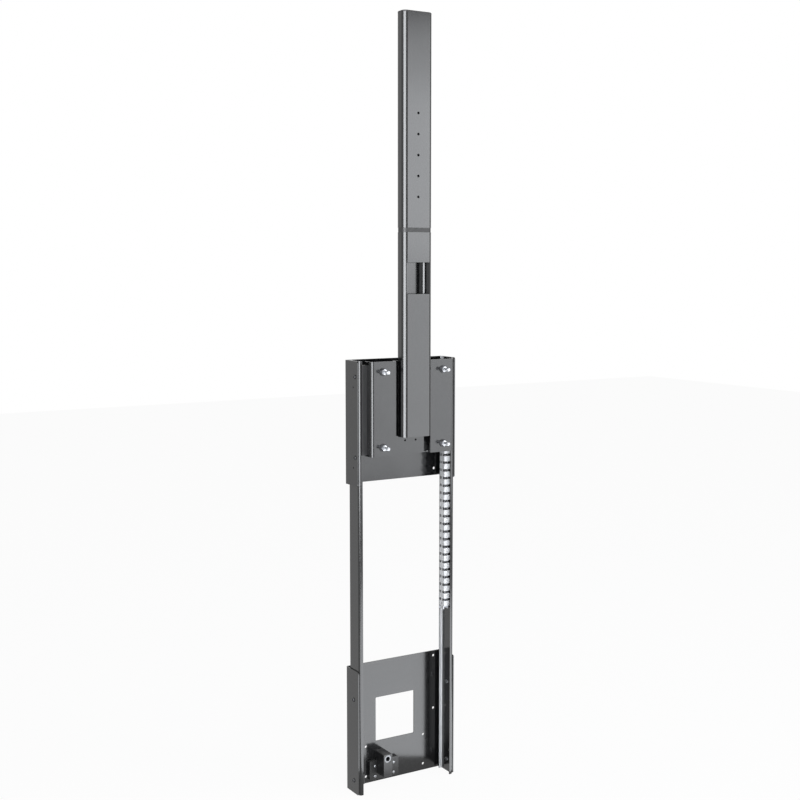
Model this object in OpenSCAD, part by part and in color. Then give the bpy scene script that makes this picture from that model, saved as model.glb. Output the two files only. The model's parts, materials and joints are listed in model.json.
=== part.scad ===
// TV lift mechanism: a wall-fixed frame of two channel rails and two pressed brackets,
// a carriage that a screw spindle drives up and down, and a tall column for the television.
// Millimetres. X runs across the wall, -Y points at the room, +Z points up.
// The origin lies on the wall plane, at the centre of the lowest four fixing holes.

/* [Frame] */
// Length of each rail
rail_len = 1100; // [1000:10:1300]
// Width over the outside of both rails
frame_w = 280; // [270:2:340]
// Depth of a rail, from its front lip to its back lip
rail_depth = 53; // [50:1:60]
// Width of a rail's front and back lip
rail_lip = 10.5; // [9:0.5:12]
// Thickness of the rail's steel
rail_t = 2.5; // [2:0.5:3]
// Outside bend radius of a rail
rail_bend = 6.5; // [4:0.5:7]

/* [Brackets] */
// Thickness of the bracket sheet
sheet_t = 3; // [2.5:0.5:4]
// Outside bend radius of a bracket
sheet_bend = 5; // [4.5:0.5:7]
// Space between a rail's back and the bracket's web
wall_gap = 9.5; // [8:0.5:14]
// Distance from a rail's front to the edge of the bracket's flange
flange_setback = 1.5; // [1:0.5:6]
// Radius of the free corners of the brackets' flanges
flange_corner = 6; // [3:1:10]
// Height of the upper bracket
top_bracket_h = 310; // [280:5:360]
// Height of the lower bracket
foot_bracket_h = 320; // [300:5:360]
// Width of the cable window in the lower bracket
window_w = 116; // [80:2:130]
// Height of the cable window
window_h = 116; // [80:2:130]
// Height of the window's lower edge above the rails' ends
window_up = 107; // [104:1:120]
// Corner radius of the window
window_r = 3; // [2:0.5:8]

/* [Wall fixing] */
// Radius of a fixing hole
fix_r = 3.5; // [2.5:0.25:4.5]
// Distance across between the lowest four holes
foot_fix_dx = 174; // [150:2:190]
// Distance up between the lowest four holes
foot_fix_dz = 80; // [60:2:90]
// Height of the lowest holes above the rails' ends
foot_fix_up = 17; // [12:1:20]
// Distance across between the outer holes beside the rails
side_fix_dx = 237; // [231:1:239]
// Distance up between the outer holes
side_fix_dz = 143; // [100:1:146]
// Height of the outer holes of the lower bracket
side_fix_up = 164; // [150:1:170]
// Height of the upper bracket's lower outer holes above its edge
top_fix_up = 18; // [12:1:40]
// Distance up between the upper bracket's outer holes
top_fix_dz = 274; // [220:1:274]

/* [Bracket screws] */
// Radius of the screws through the bracket flanges
side_screw_r = 3; // [2.5:0.5:4]
// Radius of their button heads
side_head_r = 5.5; // [5:0.5:7]
// Height of their button heads
side_head_h = 3; // [2:0.5:4]
// Depth of the upper screws behind a rail's front
top_screw_in = 15; // [13:1:18]
// Depth of the lower screws behind a rail's front
foot_screw_in = 27; // [24:1:30]
// Distance up between the two screws of an upper flange
top_screw_dz = 200; // [160:5:220]
// Height of the upper flange's lower screw above the flange's edge
top_screw_up = 71; // [50:1:80]
// Distance up between the two screws of a lower flange
foot_screw_dz = 211; // [190:1:230]
// Height of the lower flange's lower screw
foot_screw_up = 32; // [22:1:40]

// Radius of the small marking holes in the upper flanges
mark_r = 2; // [1.5:0.5:2.5]
// Distance of a marking hole behind its screw
mark_back = 7; // [6.5:0.5:10]
// Distance of a marking hole below its screw
mark_down = 26; // [16:1:34]

/* [Carriage] */
// Width over the carriage's side flanges
carriage_w = 240; // [236:1:242]
// Height of the carriage
carriage_h = 234; // [230:2:250]
// Distance of the raised carriage's upper edge below the rails' upper ends
carriage_down = 1; // [0:0.5:6]
// Distance of the carriage's face in front of the rails
carriage_proud = 28; // [24:1:34]
// Thickness of the carriage sheet
carriage_t = 2.5; // [2:0.5:3]
// Outside bend radius of the carriage's sides
carriage_bend = 7; // [5:0.5:8]
// Depth of the carriage's side flanges
carriage_side = 33.5; // [31:0.5:36]
// Width of the seat pressed in for the column
seat_w = 100; // [92:1:110]
// Depth of the column's seat
seat_depth = 14.5; // [8:0.5:16]
// Bend radius at the seat's edges
seat_bend = 3; // [1:0.5:4]
// Width of the cable slot beside the seat
slot_w = 13; // [8:1:14]
// Height of the cable slot
slot_h = 37; // [20:1:40]
// Height of the slot above the carriage's edge
slot_up = 4; // [4:1:10]
// Height of the lowered carriage's lower edge above the rails' lower ends
carriage_low = 65; // [65:5:265]

/* [Studs] */
// Distance across between the carriage studs
stud_dx = 174; // [150:1:190]
// Distance up between the carriage studs
stud_dz = 187; // [150:1:195]
// Height of the lower studs above the carriage's edge
stud_up = 22; // [20:1:30]
// Radius of a stud
stud_r = 4; // [3:0.5:4]
// Length of stud that stands out of the carriage's face
stud_out = 28; // [20:1:34]
// Width over the flats of a stud nut
nut_flats = 13; // [11:0.5:14]
// Thickness of a stud nut
nut_h = 6.5; // [5:0.5:8]
// Radius of a stud washer
washer_r = 10; // [8:0.5:12]
// Thickness of a stud washer
washer_t = 1.6; // [1:0.1:2]

/* [Column] */
// Width of the column's tube
column_w = 84; // [76:1:84]
// Depth of the column's tube
column_d = 36; // [34:1:44]
// Corner radius of the tube
column_r = 12; // [8:0.5:14]
// Wall of the tube
column_t = 3; // [2:0.5:3.5]
// Height of the column's lower end above the carriage's edge
column_up = 46; // [44:1:60]
// Length of the lower tube
lower_tube_len = 502; // [480:2:560]
// Height of the joint ring between the tubes
joint_ring_h = 11; // [6:1:14]
// Inset of the joint ring's outside
joint_ring_in = 0.8; // [0.4:0.1:1.5]
// Length of the upper tube
upper_tube_len = 510; // [480:2:600]
// Thickness of the end cap's rim
cap_h = 4; // [3:0.5:6]
// Height of the cable cut-out in the lower tube
cable_cut_h = 77; // [50:1:80]
// Width of the cable cut-out
cable_cut_w = 66; // [40:1:68]
// Distance from the cable cut-out's top to the tube's upper end
cable_cut_down = 73; // [70:1:80]
// Number of bracket holes in the upper tube
bracket_holes = 5; // [3:1:7]
// Distance between the bracket holes
bracket_pitch = 50; // [40:5:60]
// Radius of a bracket hole
bracket_hole_r = 3.3; // [2.5:0.1:4]
// Height of the lowest bracket hole above the upper tube's end
bracket_hole_up = 74; // [74:1:100]

// Distance between the screws that hold the column to the carriage
tube_screw_pitch = 50; // [40:1:52]
// Length of the sleeve inside the tubes' joint
splice_len = 132; // [100:4:134]
// Wall of the sleeve
splice_t = 3; // [2:0.5:3]
// Width of the nut strips inside the tubes
strip_w = 24; // [16:1:30]
// Thickness of the nut strips
strip_t = 6; // [4:0.5:8]

/* [Guides] */
// Running gap between a guide strip and the rail's lip
guide_gap = 0.3; // [0.2:0.05:0.5]
// Thickness of a guide strip in front of the lip
guide_front = 4.7; // [4:0.1:6]
// Thickness of a guide strip behind the lip
guide_back = 4.4; // [3:0.1:4.4]
// Reach of a guide strip over the front of the lip
guide_reach = 4; // [3:0.5:6]
// Length of a guide strip
guide_len = 222; // [180:2:224]
// Height of a guide strip above the carriage's edge
guide_up = 3; // [3:1:8]

/* [Drive] */
// Outside radius of the spindle's thread
spindle_r = 6; // [5:0.5:7]
// Radius of the spindle's journals
journal_r = 4; // [3:0.5:4.5]
// Radial running clearance of the journals
journal_fit = 0.05; // [0.02:0.01:0.1]
// Distance of the spindle's axis from the middle of the frame
spindle_x = 117; // [114:0.5:118]
// Distance of the spindle's axis from the wall
spindle_y = 30; // [30:0.5:32]
// Teeth of the spindle gear and of the motor pinion
gear_teeth = 20; // [18:1:20]
// Gear module
gear_mod = 1.5; // [1.25:0.25:1.5]
// Width of the gears
gear_w = 12; // [8:1:14]
// Radius of the motor
motor_r = 18; // [14:0.5:18]
// Clear height between the raised drive nut and the motor
motor_clear = 9; // [6:1:20]
// Length of the motor's end cap
motor_cap_len = 12; // [8:1:14]
// Wall of the gearbox
box_wall = 2; // [1.5:0.5:2.5]
// Height of the gearbox body
box_h = 26; // [24:1:30]
// Distance of the gearbox body's underside below the rails' upper ends
box_down = 60; // [56:1:70]

// Length of the drive nut
nut_len = 32; // [24:1:40]
// Thickness of the angle that carries the drive nut
angle_t = 4; // [3:0.5:5]
// Height of the foot bearing block
foot_block_h = 26; // [24:1:30]
// Radius of the foot bearing
bearing_r = 8; // [8:0.5:10]

/* [Cable chain] */
// Pitch of the chain's links
link_pitch = 20; // [18:1:22]
// Number of links
link_count = 21; // [19:1:21]
// Outside width of the chain, across the rail
chain_w = 19.5; // [16:0.5:20]
// Outside depth of the chain
chain_d = 21.6; // [20.4:0.2:22]
// Height of the raised chain's upper end above the carriage's edge
chain_top_up = 4; // [2:0.5:6]
// Thickness of one layer of a link's side
link_side_t = 1.6; // [1.2:0.1:2]
// Thickness of a link's cross bar
link_bar_t = 2; // [1.8:0.1:2.4]
// Radius of a link's joint disc
link_disc_r = 9.6; // [8.8:0.1:9.7]
// Radius of the inner disc of a joint
link_inner_r = 7; // [6:0.1:7.4]
// Width of a link between its joints
link_neck = 12; // [10:0.5:13]
// Radius of a link's pivot stud
pivot_r = 3; // [2.5:0.1:3.5]

/* [Cable clamp] */
// Distance of the clamp's middle left of the frame's middle
clamp_x = 48; // [46:1:52]
// Width of the clamp's body
clamp_w = 25; // [22:1:30]
// Distance the clamp stands out from the bracket
clamp_d = 46; // [40:1:48]
// Height of the clamp's lower edge above the rails' ends
clamp_up = 24; // [20:1:26]
// Height of the clamp's body
clamp_h = 60; // [58:1:70]
// Radius of the cable socket in the clamp's face
socket_r = 10; // [7:0.5:10]
// Height of the clamp's fixing ears
clamp_ear_h = 50; // [44:1:54]
// Thickness of the ears
clamp_ear_t = 10; // [6:1:12]
// Reach of the left ear
clamp_ear_left = 21; // [16:1:22]
// Reach of the right ear
clamp_ear_right = 40; // [30:1:44]

/* [Hidden] */
$fn = 48;
cut = 1;                   // overrun of cutting solids past a face
seat_gap = 0.3;            // gap between pieces that don't touch
screw_play = 0.2;          // radial room of a screw in a plain hole
screw_grip = 0.05;         // radial gap of a screw in its thread
m3_r = 1.5;                // small screws
m3_head_r = 2.8;
m3_head_h = 1.8;
m4_r = 2;                  // plate screws
m4_head_r = 3.8;
m4_head_h = 2.4;
m5_r = 2.5;                // column screws
m5_head_r = 4.5;
m5_head_h = 3;
steel = [0.09, 0.09, 0.1];
dark = [0.05, 0.05, 0.055];
zinc = [0.75, 0.76, 0.78];
nylon = [0.2, 0.2, 0.21];
pale = [0.8, 0.82, 0.84];

// Heights are measured from the rails' lower ends; this puts the origin at the fixing holes.
base_z = -(foot_fix_up + foot_fix_dz / 2);

// Depths behind the wall plane are negative, towards the room.
web_y = -sheet_t;                                 // face of the bracket webs
rail_back_y = web_y - wall_gap;
rail_front_y = rail_back_y - rail_depth;
flange_front_y = rail_front_y + flange_setback;
carriage_y = rail_front_y - carriage_proud;       // face of the carriage
seat_y = carriage_y + seat_depth;                 // face of the column's seat
column_mid_y = seat_y - column_d / 2;
column_front_y = seat_y - column_d;

half_w = frame_w / 2;
lip_x = half_w - rail_lip;                        // inner edge of a lip
inner_web_x = half_w - rail_t;
bracket_half_w = half_w + sheet_t;
top_bracket_up = rail_len - top_bracket_h;
flange_x = carriage_w / 2;
flange_back_y = carriage_y + carriage_side;

carriage_up = rail_len - carriage_down - carriage_h;   // height of the raised carriage's lower edge
lift_travel = carriage_up - carriage_low;
column_h = carriage_up + column_up;               // height of the column's lower end
ring_h0 = column_h + lower_tube_len;
upper_h0 = ring_h0 + joint_ring_h;
cap_h0 = upper_h0 + upper_tube_len;
cable_cut_h0 = ring_h0 - cable_cut_down - cable_cut_h;

gear_pitch_r = gear_mod * gear_teeth / 2;
gear_tip_r = gear_pitch_r + gear_mod;
gear_root_r = gear_pitch_r - 1.25 * gear_mod;
motor_x = spindle_x - 2 * gear_pitch_r;
box_up = rail_len - box_down;
nut_top = carriage_up + angle_t + nut_len;
motor_len = box_up - motor_cap_len - motor_clear - nut_top;
box_inner_r = gear_tip_r + 0.5;
box_outer_r = box_inner_r + box_wall;
box_floor_t = 5;
gear_up = box_up + box_floor_t + 1;
box_cover_t = 3;
shelf_t = 4;
shelf_up = box_up + box_h + box_cover_t;

chain_half_d = chain_d / 2;
chain_up = carriage_up + chain_top_up - link_count * link_pitch;
guide_back_y = rail_front_y + rail_t + guide_gap + guide_back;   // back face of a guide strip
chain_y = guide_back_y + 0.5 + chain_half_d;      // middle of the chain's depth
chain_out_x = inner_web_x - 2.5;                  // outer side of the chain
chain_in_x = chain_out_x - chain_w;
link_lap = 0.25;                                  // gap between the two layers of a joint
link_gap = 0.4;                                   // gap between neighbouring links in a layer
link_side_w = 2 * link_side_t + link_lap;
bar_in = chain_half_d - link_bar_t;               // inner face of a cross bar, from the middle

// A rounded rectangle from true circles, centred on the origin.
module round_rect(w, d, r) {
    square([w - 2 * r, d], center = true);
    square([w, d - 2 * r], center = true);
    for (sx = [-1, 1], sy = [-1, 1])
        translate([sx * (w / 2 - r), sy * (d / 2 - r)]) circle(r);
}

// A box given by its lower corner and its size, measured from the rails' ends.
module block(x0, x1, y0, y1, h0, h1) {
    translate([x0, y0, h0]) cube([x1 - x0, y1 - y0, h1 - h0]);
}

module on_rails() {
    translate([0, 0, base_z]) children();
}

// A cylinder that points along X, Y or Z from a start point.
module along_x(r, len) { rotate([0, 90, 0]) cylinder(r = r, h = len); }
module along_y(r, len) { rotate([-90, 0, 0]) cylinder(r = r, h = len); }

module left_and_right() {
    children();
    mirror([1, 0, 0]) children();
}

// Channel section of the right rail, open towards the middle of the frame.
module rail_section() {
    mid_y = (rail_front_y + rail_back_y) / 2;
    wide = 2 * rail_lip + 4 * rail_bend;
    difference() {
        translate([half_w - wide / 2, mid_y]) round_rect(wide, rail_depth, rail_bend);
        translate([half_w - wide / 2, mid_y])
            round_rect(wide - 2 * rail_t, rail_depth - 2 * rail_t, rail_bend - rail_t);
        translate([half_w - wide - cut, rail_front_y - cut])
            square([wide - rail_lip + cut, rail_depth + 2 * cut]);
    }
}

function side_screw_spots() = [
    for (k = [0, 1]) [rail_front_y + top_screw_in, top_bracket_up + top_screw_up + k * top_screw_dz],
    for (k = [0, 1]) [rail_front_y + foot_screw_in, foot_screw_up + k * foot_screw_dz],
];

module side_screw_holes(x0, len) {
    for (s = side_screw_spots()) translate([x0, s[0], s[1]]) along_x(side_screw_r + screw_play, len);
}

module rail() {
    difference() {
        linear_extrude(rail_len) rail_section();
        side_screw_holes(inner_web_x - cut, rail_t + 2 * cut);
    }
}

module rail_left() { color(steel) on_rails() mirror([1, 0, 0]) rail(); }
module rail_right() {
    color(steel) on_rails() difference() {
        rail();
        for (h = anchor_screw_rows)
            translate([inner_web_x - cut, anchor_hole_y, h]) along_x(m3_r + screw_play, rail_t + 2 * cut);
    }
}

// Pressed sheet that wraps the rails from behind, with a flange down each side.
module bracket_section() {
    deep = -flange_front_y;
    long = deep + 4 * sheet_bend;
    difference() {
        translate([0, -long / 2]) round_rect(2 * bracket_half_w, long, sheet_bend);
        translate([0, -long / 2])
            round_rect(2 * half_w, long - 2 * sheet_t, sheet_bend - sheet_t);
        translate([-bracket_half_w - cut, -long - cut])
            square([2 * bracket_half_w + 2 * cut, long - deep + cut]);
    }
}

// Screws through a bracket's web, with heads sunk flush with the wall face.
web_head_t = 1.5;
web_screw_in = 12;
web_head_y = -0.2 - web_head_t;                   // the head lies just behind the wall face

module web_screw(x, h) {
    y0 = web_y - web_screw_in;
    translate([x, y0, h]) along_y(m4_r, web_head_y - y0 + web_head_t / 2);
    translate([x, web_head_y, h]) along_y(m4_head_r, web_head_t);
}

module web_screw_hole(x, h) {
    translate([x, web_y - cut, h]) along_y(m4_r + screw_play, sheet_t + 2 * cut);
    translate([x, web_head_y, h]) along_y(m4_head_r + screw_play, web_head_t + cut);
}

module wall_holes(dx, dz, up) {
    for (sx = [-1, 1], k = [0, 1])
        translate([sx * dx / 2, web_y - cut, up + k * dz]) along_y(fix_r, sheet_t + 2 * cut);
}

module marks() {
    for (s = side_screw_spots()) if (s[1] > top_bracket_up)
        translate([-bracket_half_w - cut, s[0] + mark_back, s[1] - mark_down])
            along_x(mark_r, sheet_t + 2 * cut);
}

// Bent sheet of a bracket. The free corners of its side flanges are round.
module bracket_sheet(h) {
    r = flange_corner;
    intersection() {
        linear_extrude(h) bracket_section();
        translate([-bracket_half_w - cut, 0, 0]) rotate([90, 0, 90])
            linear_extrude(2 * (bracket_half_w + cut)) {
                translate([flange_front_y + r, 0]) square([cut - flange_front_y - r, h]);
                translate([flange_front_y, r]) square([2 * r, h - 2 * r]);
                for (z = [r, h - r]) translate([flange_front_y + r, z]) circle(r);
            }
    }
}

module top_bracket() {
    color(steel) on_rails() difference() {
        translate([0, 0, top_bracket_up]) bracket_sheet(top_bracket_h);
        left_and_right() side_screw_holes(half_w - cut, sheet_t + 2 * cut);
        left_and_right() marks();
        wall_holes(side_fix_dx, top_fix_dz, top_bracket_up + top_fix_up);
        for (x = leg_screw_x, h = leg_screw_rows) web_screw_hole(x, h);
    }
}

module foot_bracket() {
    color(steel) on_rails() difference() {
        bracket_sheet(foot_bracket_h);
        left_and_right() side_screw_holes(half_w - cut, sheet_t + 2 * cut);
        wall_holes(side_fix_dx, side_fix_dz, side_fix_up);
        wall_holes(foot_fix_dx, foot_fix_dz, foot_fix_up);
        for (h = foot_block_rows) web_screw_hole(foot_block_screw_x, h);
        clamp_screw_spots() translate([0, web_y - cut, 0]) along_y(m4_r + screw_play, sheet_t + 2 * cut);
        translate([0, cut, window_up + window_h / 2]) rotate([90, 0, 0])
            linear_extrude(sheet_t + 2 * cut) round_rect(window_w, window_h, window_r);
    }
}

// Button-head screw that points along -X, its head's seat at x = 0.
module button_screw(shank) {
    dome_r = 1.4 * side_head_r;
    translate([-shank, 0, 0]) along_x(side_screw_r, shank);
    rotate([0, 90, 0]) rotate_extrude() difference() {
        intersection() {
            translate([0, side_head_h - dome_r]) circle(dome_r);
            square([side_head_r, side_head_h]);
        }
        translate([-cut, side_head_h / 2]) square([side_screw_r * 0.6 + cut, side_head_h]);
    }
}

screw_nut_t = 2;
screw_nut_r = side_screw_r + 2.2;

module bracket_screws() {
    color(dark) on_rails() left_and_right()
        for (s = side_screw_spots())
            translate([bracket_half_w, s[0], s[1]]) button_screw(sheet_t + rail_t + screw_nut_t);
}

module bracket_screw_nuts() {
    color(zinc) on_rails() left_and_right()
        for (s = side_screw_spots())
            translate([inner_web_x - screw_nut_t, s[0], s[1]]) difference() {
                rotate([0, 90, 0]) cylinder(r = screw_nut_r, h = screw_nut_t, $fn = 6);
                translate([-cut, 0, 0]) along_x(side_screw_r + screw_grip, screw_nut_t + 2 * cut);
            }
}

// Rubber stops behind the front lips, at both ends of the guide strips' travel.
stop_h = 7;
guide_h0 = carriage_up + guide_up;
guide_tip_x = inner_web_x - rail_bend + rail_t - guide_gap;

module stops(h0) {
    color(dark) on_rails() left_and_right()
        block(lip_x + 1, inner_web_x - rail_bend + rail_t, rail_front_y + rail_t, guide_back_y,
              h0, h0 + stop_h);
}

module top_stops() { stops(guide_h0 + guide_len + seat_gap); }
module foot_stops() { stops(guide_h0 - lift_travel - seat_gap - stop_h); }

// Moulded clamp at the foot that holds the incoming cables.
clamp_ear_drop = 15;                              // the ears reach this far below the body
clamp_ear_up = clamp_up - clamp_ear_drop;
clamp_front_y = web_y - clamp_d;
clamp_wall = 2.5;
clamp_back_wall = 6;
clamp_corner = 2;
socket_h = clamp_up + clamp_h - socket_r - clamp_corner;
clamp_screw_rows = [clamp_ear_up + 0.18 * clamp_ear_h, clamp_ear_up + 0.71 * clamp_ear_h];
clamp_left = -clamp_x - clamp_w / 2;
clamp_right = -clamp_x + clamp_w / 2;

module clamp_screw_spots() {
    for (x = [clamp_left - clamp_ear_left / 4, clamp_right + 0.62 * clamp_ear_right])
        for (h = clamp_screw_rows) translate([x, 0, h]) children();
}

module clamp_body() {
    color(dark) on_rails() difference() {
        union() {
            translate([-clamp_x, web_y, 0]) rotate([90, 0, 0]) linear_extrude(clamp_d)
                translate([0, clamp_up + clamp_h / 2]) round_rect(clamp_w, clamp_h, clamp_corner);
            translate([-clamp_x + (clamp_ear_right - clamp_ear_left) / 2, web_y, 0])
                rotate([90, 0, 0]) linear_extrude(clamp_ear_t)
                    translate([0, clamp_ear_up + clamp_ear_h / 2])
                        round_rect(clamp_w + clamp_ear_left + clamp_ear_right, clamp_ear_h, 2 * clamp_corner);
        }
        translate([-clamp_x, clamp_front_y - cut, socket_h])
            along_y(socket_r, clamp_d - clamp_back_wall + cut);
        block(clamp_left + clamp_wall, clamp_right - clamp_wall, clamp_front_y + clamp_back_wall,
              web_y - clamp_back_wall, clamp_up - cut, socket_h);
        clamp_screw_spots() translate([0, web_y - clamp_ear_t - cut, 0])
            along_y(m4_r + screw_play, clamp_ear_t + 2 * cut);
    }
}

gland_len = 12;
gland_rim = 4;
gland_wall = 2;

// Sleeve round the cable, pressed into the mouth of the socket.
module clamp_gland() {
    r = socket_r - screw_grip;
    color(zinc) on_rails() translate([-clamp_x, clamp_front_y + 1, socket_h]) difference() {
        union() {
            along_y(r, gland_rim);
            along_y(r - gland_wall, gland_len);
        }
        translate([0, -cut, 0]) along_y(r - 2 * gland_wall, gland_len + 2 * cut);
    }
}

module clamp_screws() {
    color(zinc) on_rails() clamp_screw_spots() {
        translate([0, web_y - clamp_ear_t, 0]) along_y(m4_r, clamp_ear_t + sheet_t / 2);
        translate([0, web_y - clamp_ear_t - m4_head_h, 0]) along_y(m4_head_r, m4_head_h);
    }
}

// Bracket on the right rail that holds the still end of the cable chain.
anchor_h = 34;
anchor_h0 = chain_up - anchor_h / 6;
anchor_t = 2.5;
anchor_y = chain_y + chain_half_d + seat_gap;
anchor_deep = 13;
anchor_hole_y = anchor_y + (anchor_t + anchor_deep) / 2;
anchor_screw_rows = [anchor_h0 + anchor_h / 4, anchor_h0 + 3 * anchor_h / 4];

module chain_anchor() {
    color(zinc) on_rails() difference() {
        union() {
            block(chain_in_x, inner_web_x, anchor_y, anchor_y + anchor_t, anchor_h0, anchor_h0 + anchor_h);
            block(inner_web_x - anchor_t, inner_web_x, anchor_y, anchor_y + anchor_deep,
                  anchor_h0, anchor_h0 + anchor_h);
        }
        for (h = anchor_screw_rows)
            translate([inner_web_x - anchor_t - cut, anchor_hole_y, h])
                along_x(m3_r + screw_play, anchor_t + 2 * cut);
    }
}

module chain_anchor_screws() {
    color(zinc) on_rails() for (h = anchor_screw_rows) translate([inner_web_x, anchor_hole_y, h]) {
        translate([-anchor_t, 0, 0]) along_x(m3_r, anchor_t + rail_t);
        translate([-anchor_t - m3_head_h, 0, 0]) along_x(m3_head_r, m3_head_h);
    }
}

// Bearing block at the spindle's foot, a round boss on a neck, screwed to the lower bracket.
foot_block_h0 = 16;
foot_block_left = 12;
foot_block_right = 14;
foot_block_wall = 1.5;
foot_boss_r = bearing_r + foot_block_wall;
foot_flange_t = web_screw_in + 2;
foot_floor = 4;
bearing_w = 6;
bearing_race = 1.6;
bearing_h0 = foot_block_h0 + foot_block_h - bearing_w - foot_floor;
foot_block_screw_x = -spindle_x + foot_block_right / 2;
foot_block_rows = [foot_block_h0 + foot_block_h / 4, foot_block_h0 + 3 * foot_block_h / 4];

module foot_block() {
    color(dark) on_rails() difference() {
        translate([-spindle_x, -spindle_y, foot_block_h0]) linear_extrude(foot_block_h) {
            circle(foot_boss_r);
            translate([-foot_boss_r, 0]) square([2 * foot_boss_r, spindle_y + web_y]);
            translate([-foot_block_left, spindle_y + web_y - foot_flange_t])
                square([foot_block_left + foot_block_right, foot_flange_t]);
        }
        translate([-spindle_x, -spindle_y, bearing_h0])
            cylinder(r = bearing_r + screw_grip, h = foot_block_h);
        translate([-spindle_x, -spindle_y, foot_block_h0 + foot_floor])
            cylinder(r = journal_r + bearing_race, h = foot_block_h);
        for (h = foot_block_rows) translate([foot_block_screw_x, web_y - web_screw_in, h])
            along_y(m4_r + screw_grip, web_screw_in + cut);
    }
}

module foot_bearing() {
    color(zinc) on_rails() translate([-spindle_x, -spindle_y, bearing_h0]) rotate_extrude()
        difference() {
            translate([journal_r + journal_fit, 0])
                square([bearing_r - journal_r - journal_fit, bearing_w]);
            for (k = [0, 1]) translate([journal_r + bearing_race, k * (bearing_w - 0.5)])
                square([bearing_r - journal_r - 2 * bearing_race, 0.5]);
        }
}

module foot_block_screws() {
    color(zinc) on_rails() for (h = foot_block_rows) web_screw(foot_block_screw_x, h);
}

// Angle bracket on the upper bracket's web that carries the gearbox and motor.
leg_t = 3;
leg_below = 31;                                   // the leg reaches this far below the gearbox
leg_h = box_h + box_cover_t + leg_below;
shelf_x0 = -spindle_x - box_outer_r / 2;
shelf_x1 = -motor_x + box_outer_r;
shelf_y0 = -spindle_y - box_outer_r;
leg_screw_x = [-motor_x - 0.65 * motor_r, -motor_x + 0.65 * motor_r];
leg_screw_rows = [box_up - 0.3 * leg_below, box_up - 0.75 * leg_below];

module drive_bracket() {
    color(steel) on_rails() difference() {
        union() {
            block(shelf_x0, shelf_x1, shelf_y0, web_y, shelf_up, shelf_up + shelf_t);
            block(shelf_x0, shelf_x1, web_y - leg_t, web_y, shelf_up - leg_h, shelf_up + shelf_t);
        }
        for (x = leg_screw_x, h = leg_screw_rows) translate([x, web_y - leg_t - cut, h])
            along_y(m4_r + screw_grip, leg_t + 2 * cut);
        for (s = box_screw_spots) translate([s[0], s[1], shelf_up - cut])
            cylinder(r = m3_r + screw_play, h = shelf_t + 2 * cut);
    }
}

module drive_bracket_screws() {
    color(zinc) on_rails() for (x = leg_screw_x, h = leg_screw_rows) web_screw(x, h);
}

module box_outline(r) {
    for (x = [-spindle_x, -motor_x]) translate([x, -spindle_y]) circle(r);
    translate([-spindle_x, -spindle_y - r]) square([spindle_x - motor_x, 2 * r]);
}

mid_gear_x = -(spindle_x + motor_x) / 2;
boss_r = 3.2;
box_screw_spots = [for (s = [-1, 1]) [mid_gear_x, -spindle_y + s * (box_outer_r - boss_r)]];
box_screw_deep = 20;
motor_shaft_r = 3;

module box_bosses(h0, h) {
    for (s = box_screw_spots) translate([s[0], s[1], h0]) cylinder(r = boss_r, h = h);
}

module gearbox_body() {
    color(dark) on_rails() difference() {
        translate([0, 0, box_up]) union() {
            difference() {
                linear_extrude(box_h) box_outline(box_outer_r);
                translate([0, 0, box_floor_t]) linear_extrude(box_h) box_outline(box_inner_r);
            }
            box_bosses(box_floor_t - cut, box_h - box_floor_t + cut);
        }
        translate([-spindle_x, -spindle_y, box_up - cut]) cylinder(r = journal_r + journal_fit, h = box_h);
        translate([-motor_x, -spindle_y, box_up - cut]) cylinder(r = motor_shaft_r + journal_fit, h = box_h);
        for (s = box_screw_spots) translate([s[0], s[1], box_up + box_floor_t])
            cylinder(r = m3_r + screw_grip, h = box_h);
    }
}

module gearbox_cover() {
    color(dark) on_rails() difference() {
        translate([0, 0, box_up + box_h]) linear_extrude(box_cover_t) box_outline(box_outer_r);
        for (s = box_screw_spots) translate([s[0], s[1], box_up])
            cylinder(r = m3_r + screw_play, h = 2 * box_h);
    }
}

module gearbox_screws() {
    color(zinc) on_rails() for (s = box_screw_spots) translate([s[0], s[1], shelf_up - box_screw_deep]) {
        cylinder(r = m3_r, h = box_screw_deep + shelf_t);
        translate([0, 0, box_screw_deep + shelf_t]) cylinder(r = m3_head_r, h = m3_head_h);
    }
}

// Involute gear outline with a little backlash.
gear_backlash = 0.35;
shaft_fit = 0.02;
motor_shaft_deep = 8;
pressure = 20;
function inv_deg(a) = tan(a) * 180 / PI - a;
function roll_at(rb, r) = r <= rb ? 0 : inv_deg(acos(rb / r));
function flank(rb, half, radii, side) = [for (r = radii)
    let (a = side * (half - roll_at(rb, r))) [r * sin(a), r * cos(a)]];

module gear_outline() {
    rb = gear_pitch_r * cos(pressure);
    half = 90 / gear_teeth - gear_backlash / gear_pitch_r * 90 / PI + inv_deg(pressure);
    r0 = max(rb, gear_root_r);
    radii = [for (k = [0:5]) r0 + k / 5 * (gear_tip_r - r0)];
    back = [for (k = [5:-1:0]) radii[k]];
    foot = [gear_mod * 1.3, gear_root_r * 0.95];
    circle(gear_root_r);
    for (t = [0:gear_teeth - 1]) rotate(t * 360 / gear_teeth)
        polygon(concat([[-foot[0], foot[1]]], flank(rb, half, radii, -1), flank(rb, half, back, 1), [foot]));
}

module spindle_gear() {
    color(nylon) on_rails() translate([-spindle_x, -spindle_y, gear_up]) difference() {
        linear_extrude(gear_w) gear_outline();
        translate([0, 0, -cut]) cylinder(r = journal_r + shaft_fit, h = gear_w + 2 * cut);
    }
}

module motor_pinion() {
    color(zinc) on_rails() translate([-motor_x, -spindle_y, 0]) {
        translate([0, 0, gear_up]) linear_extrude(gear_w) rotate(180 / gear_teeth) gear_outline();
        translate([0, 0, box_up - motor_shaft_deep])
            cylinder(r = motor_shaft_r, h = gear_up - box_up + motor_shaft_deep);
    }
}

motor_groove = 0.7;

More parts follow.
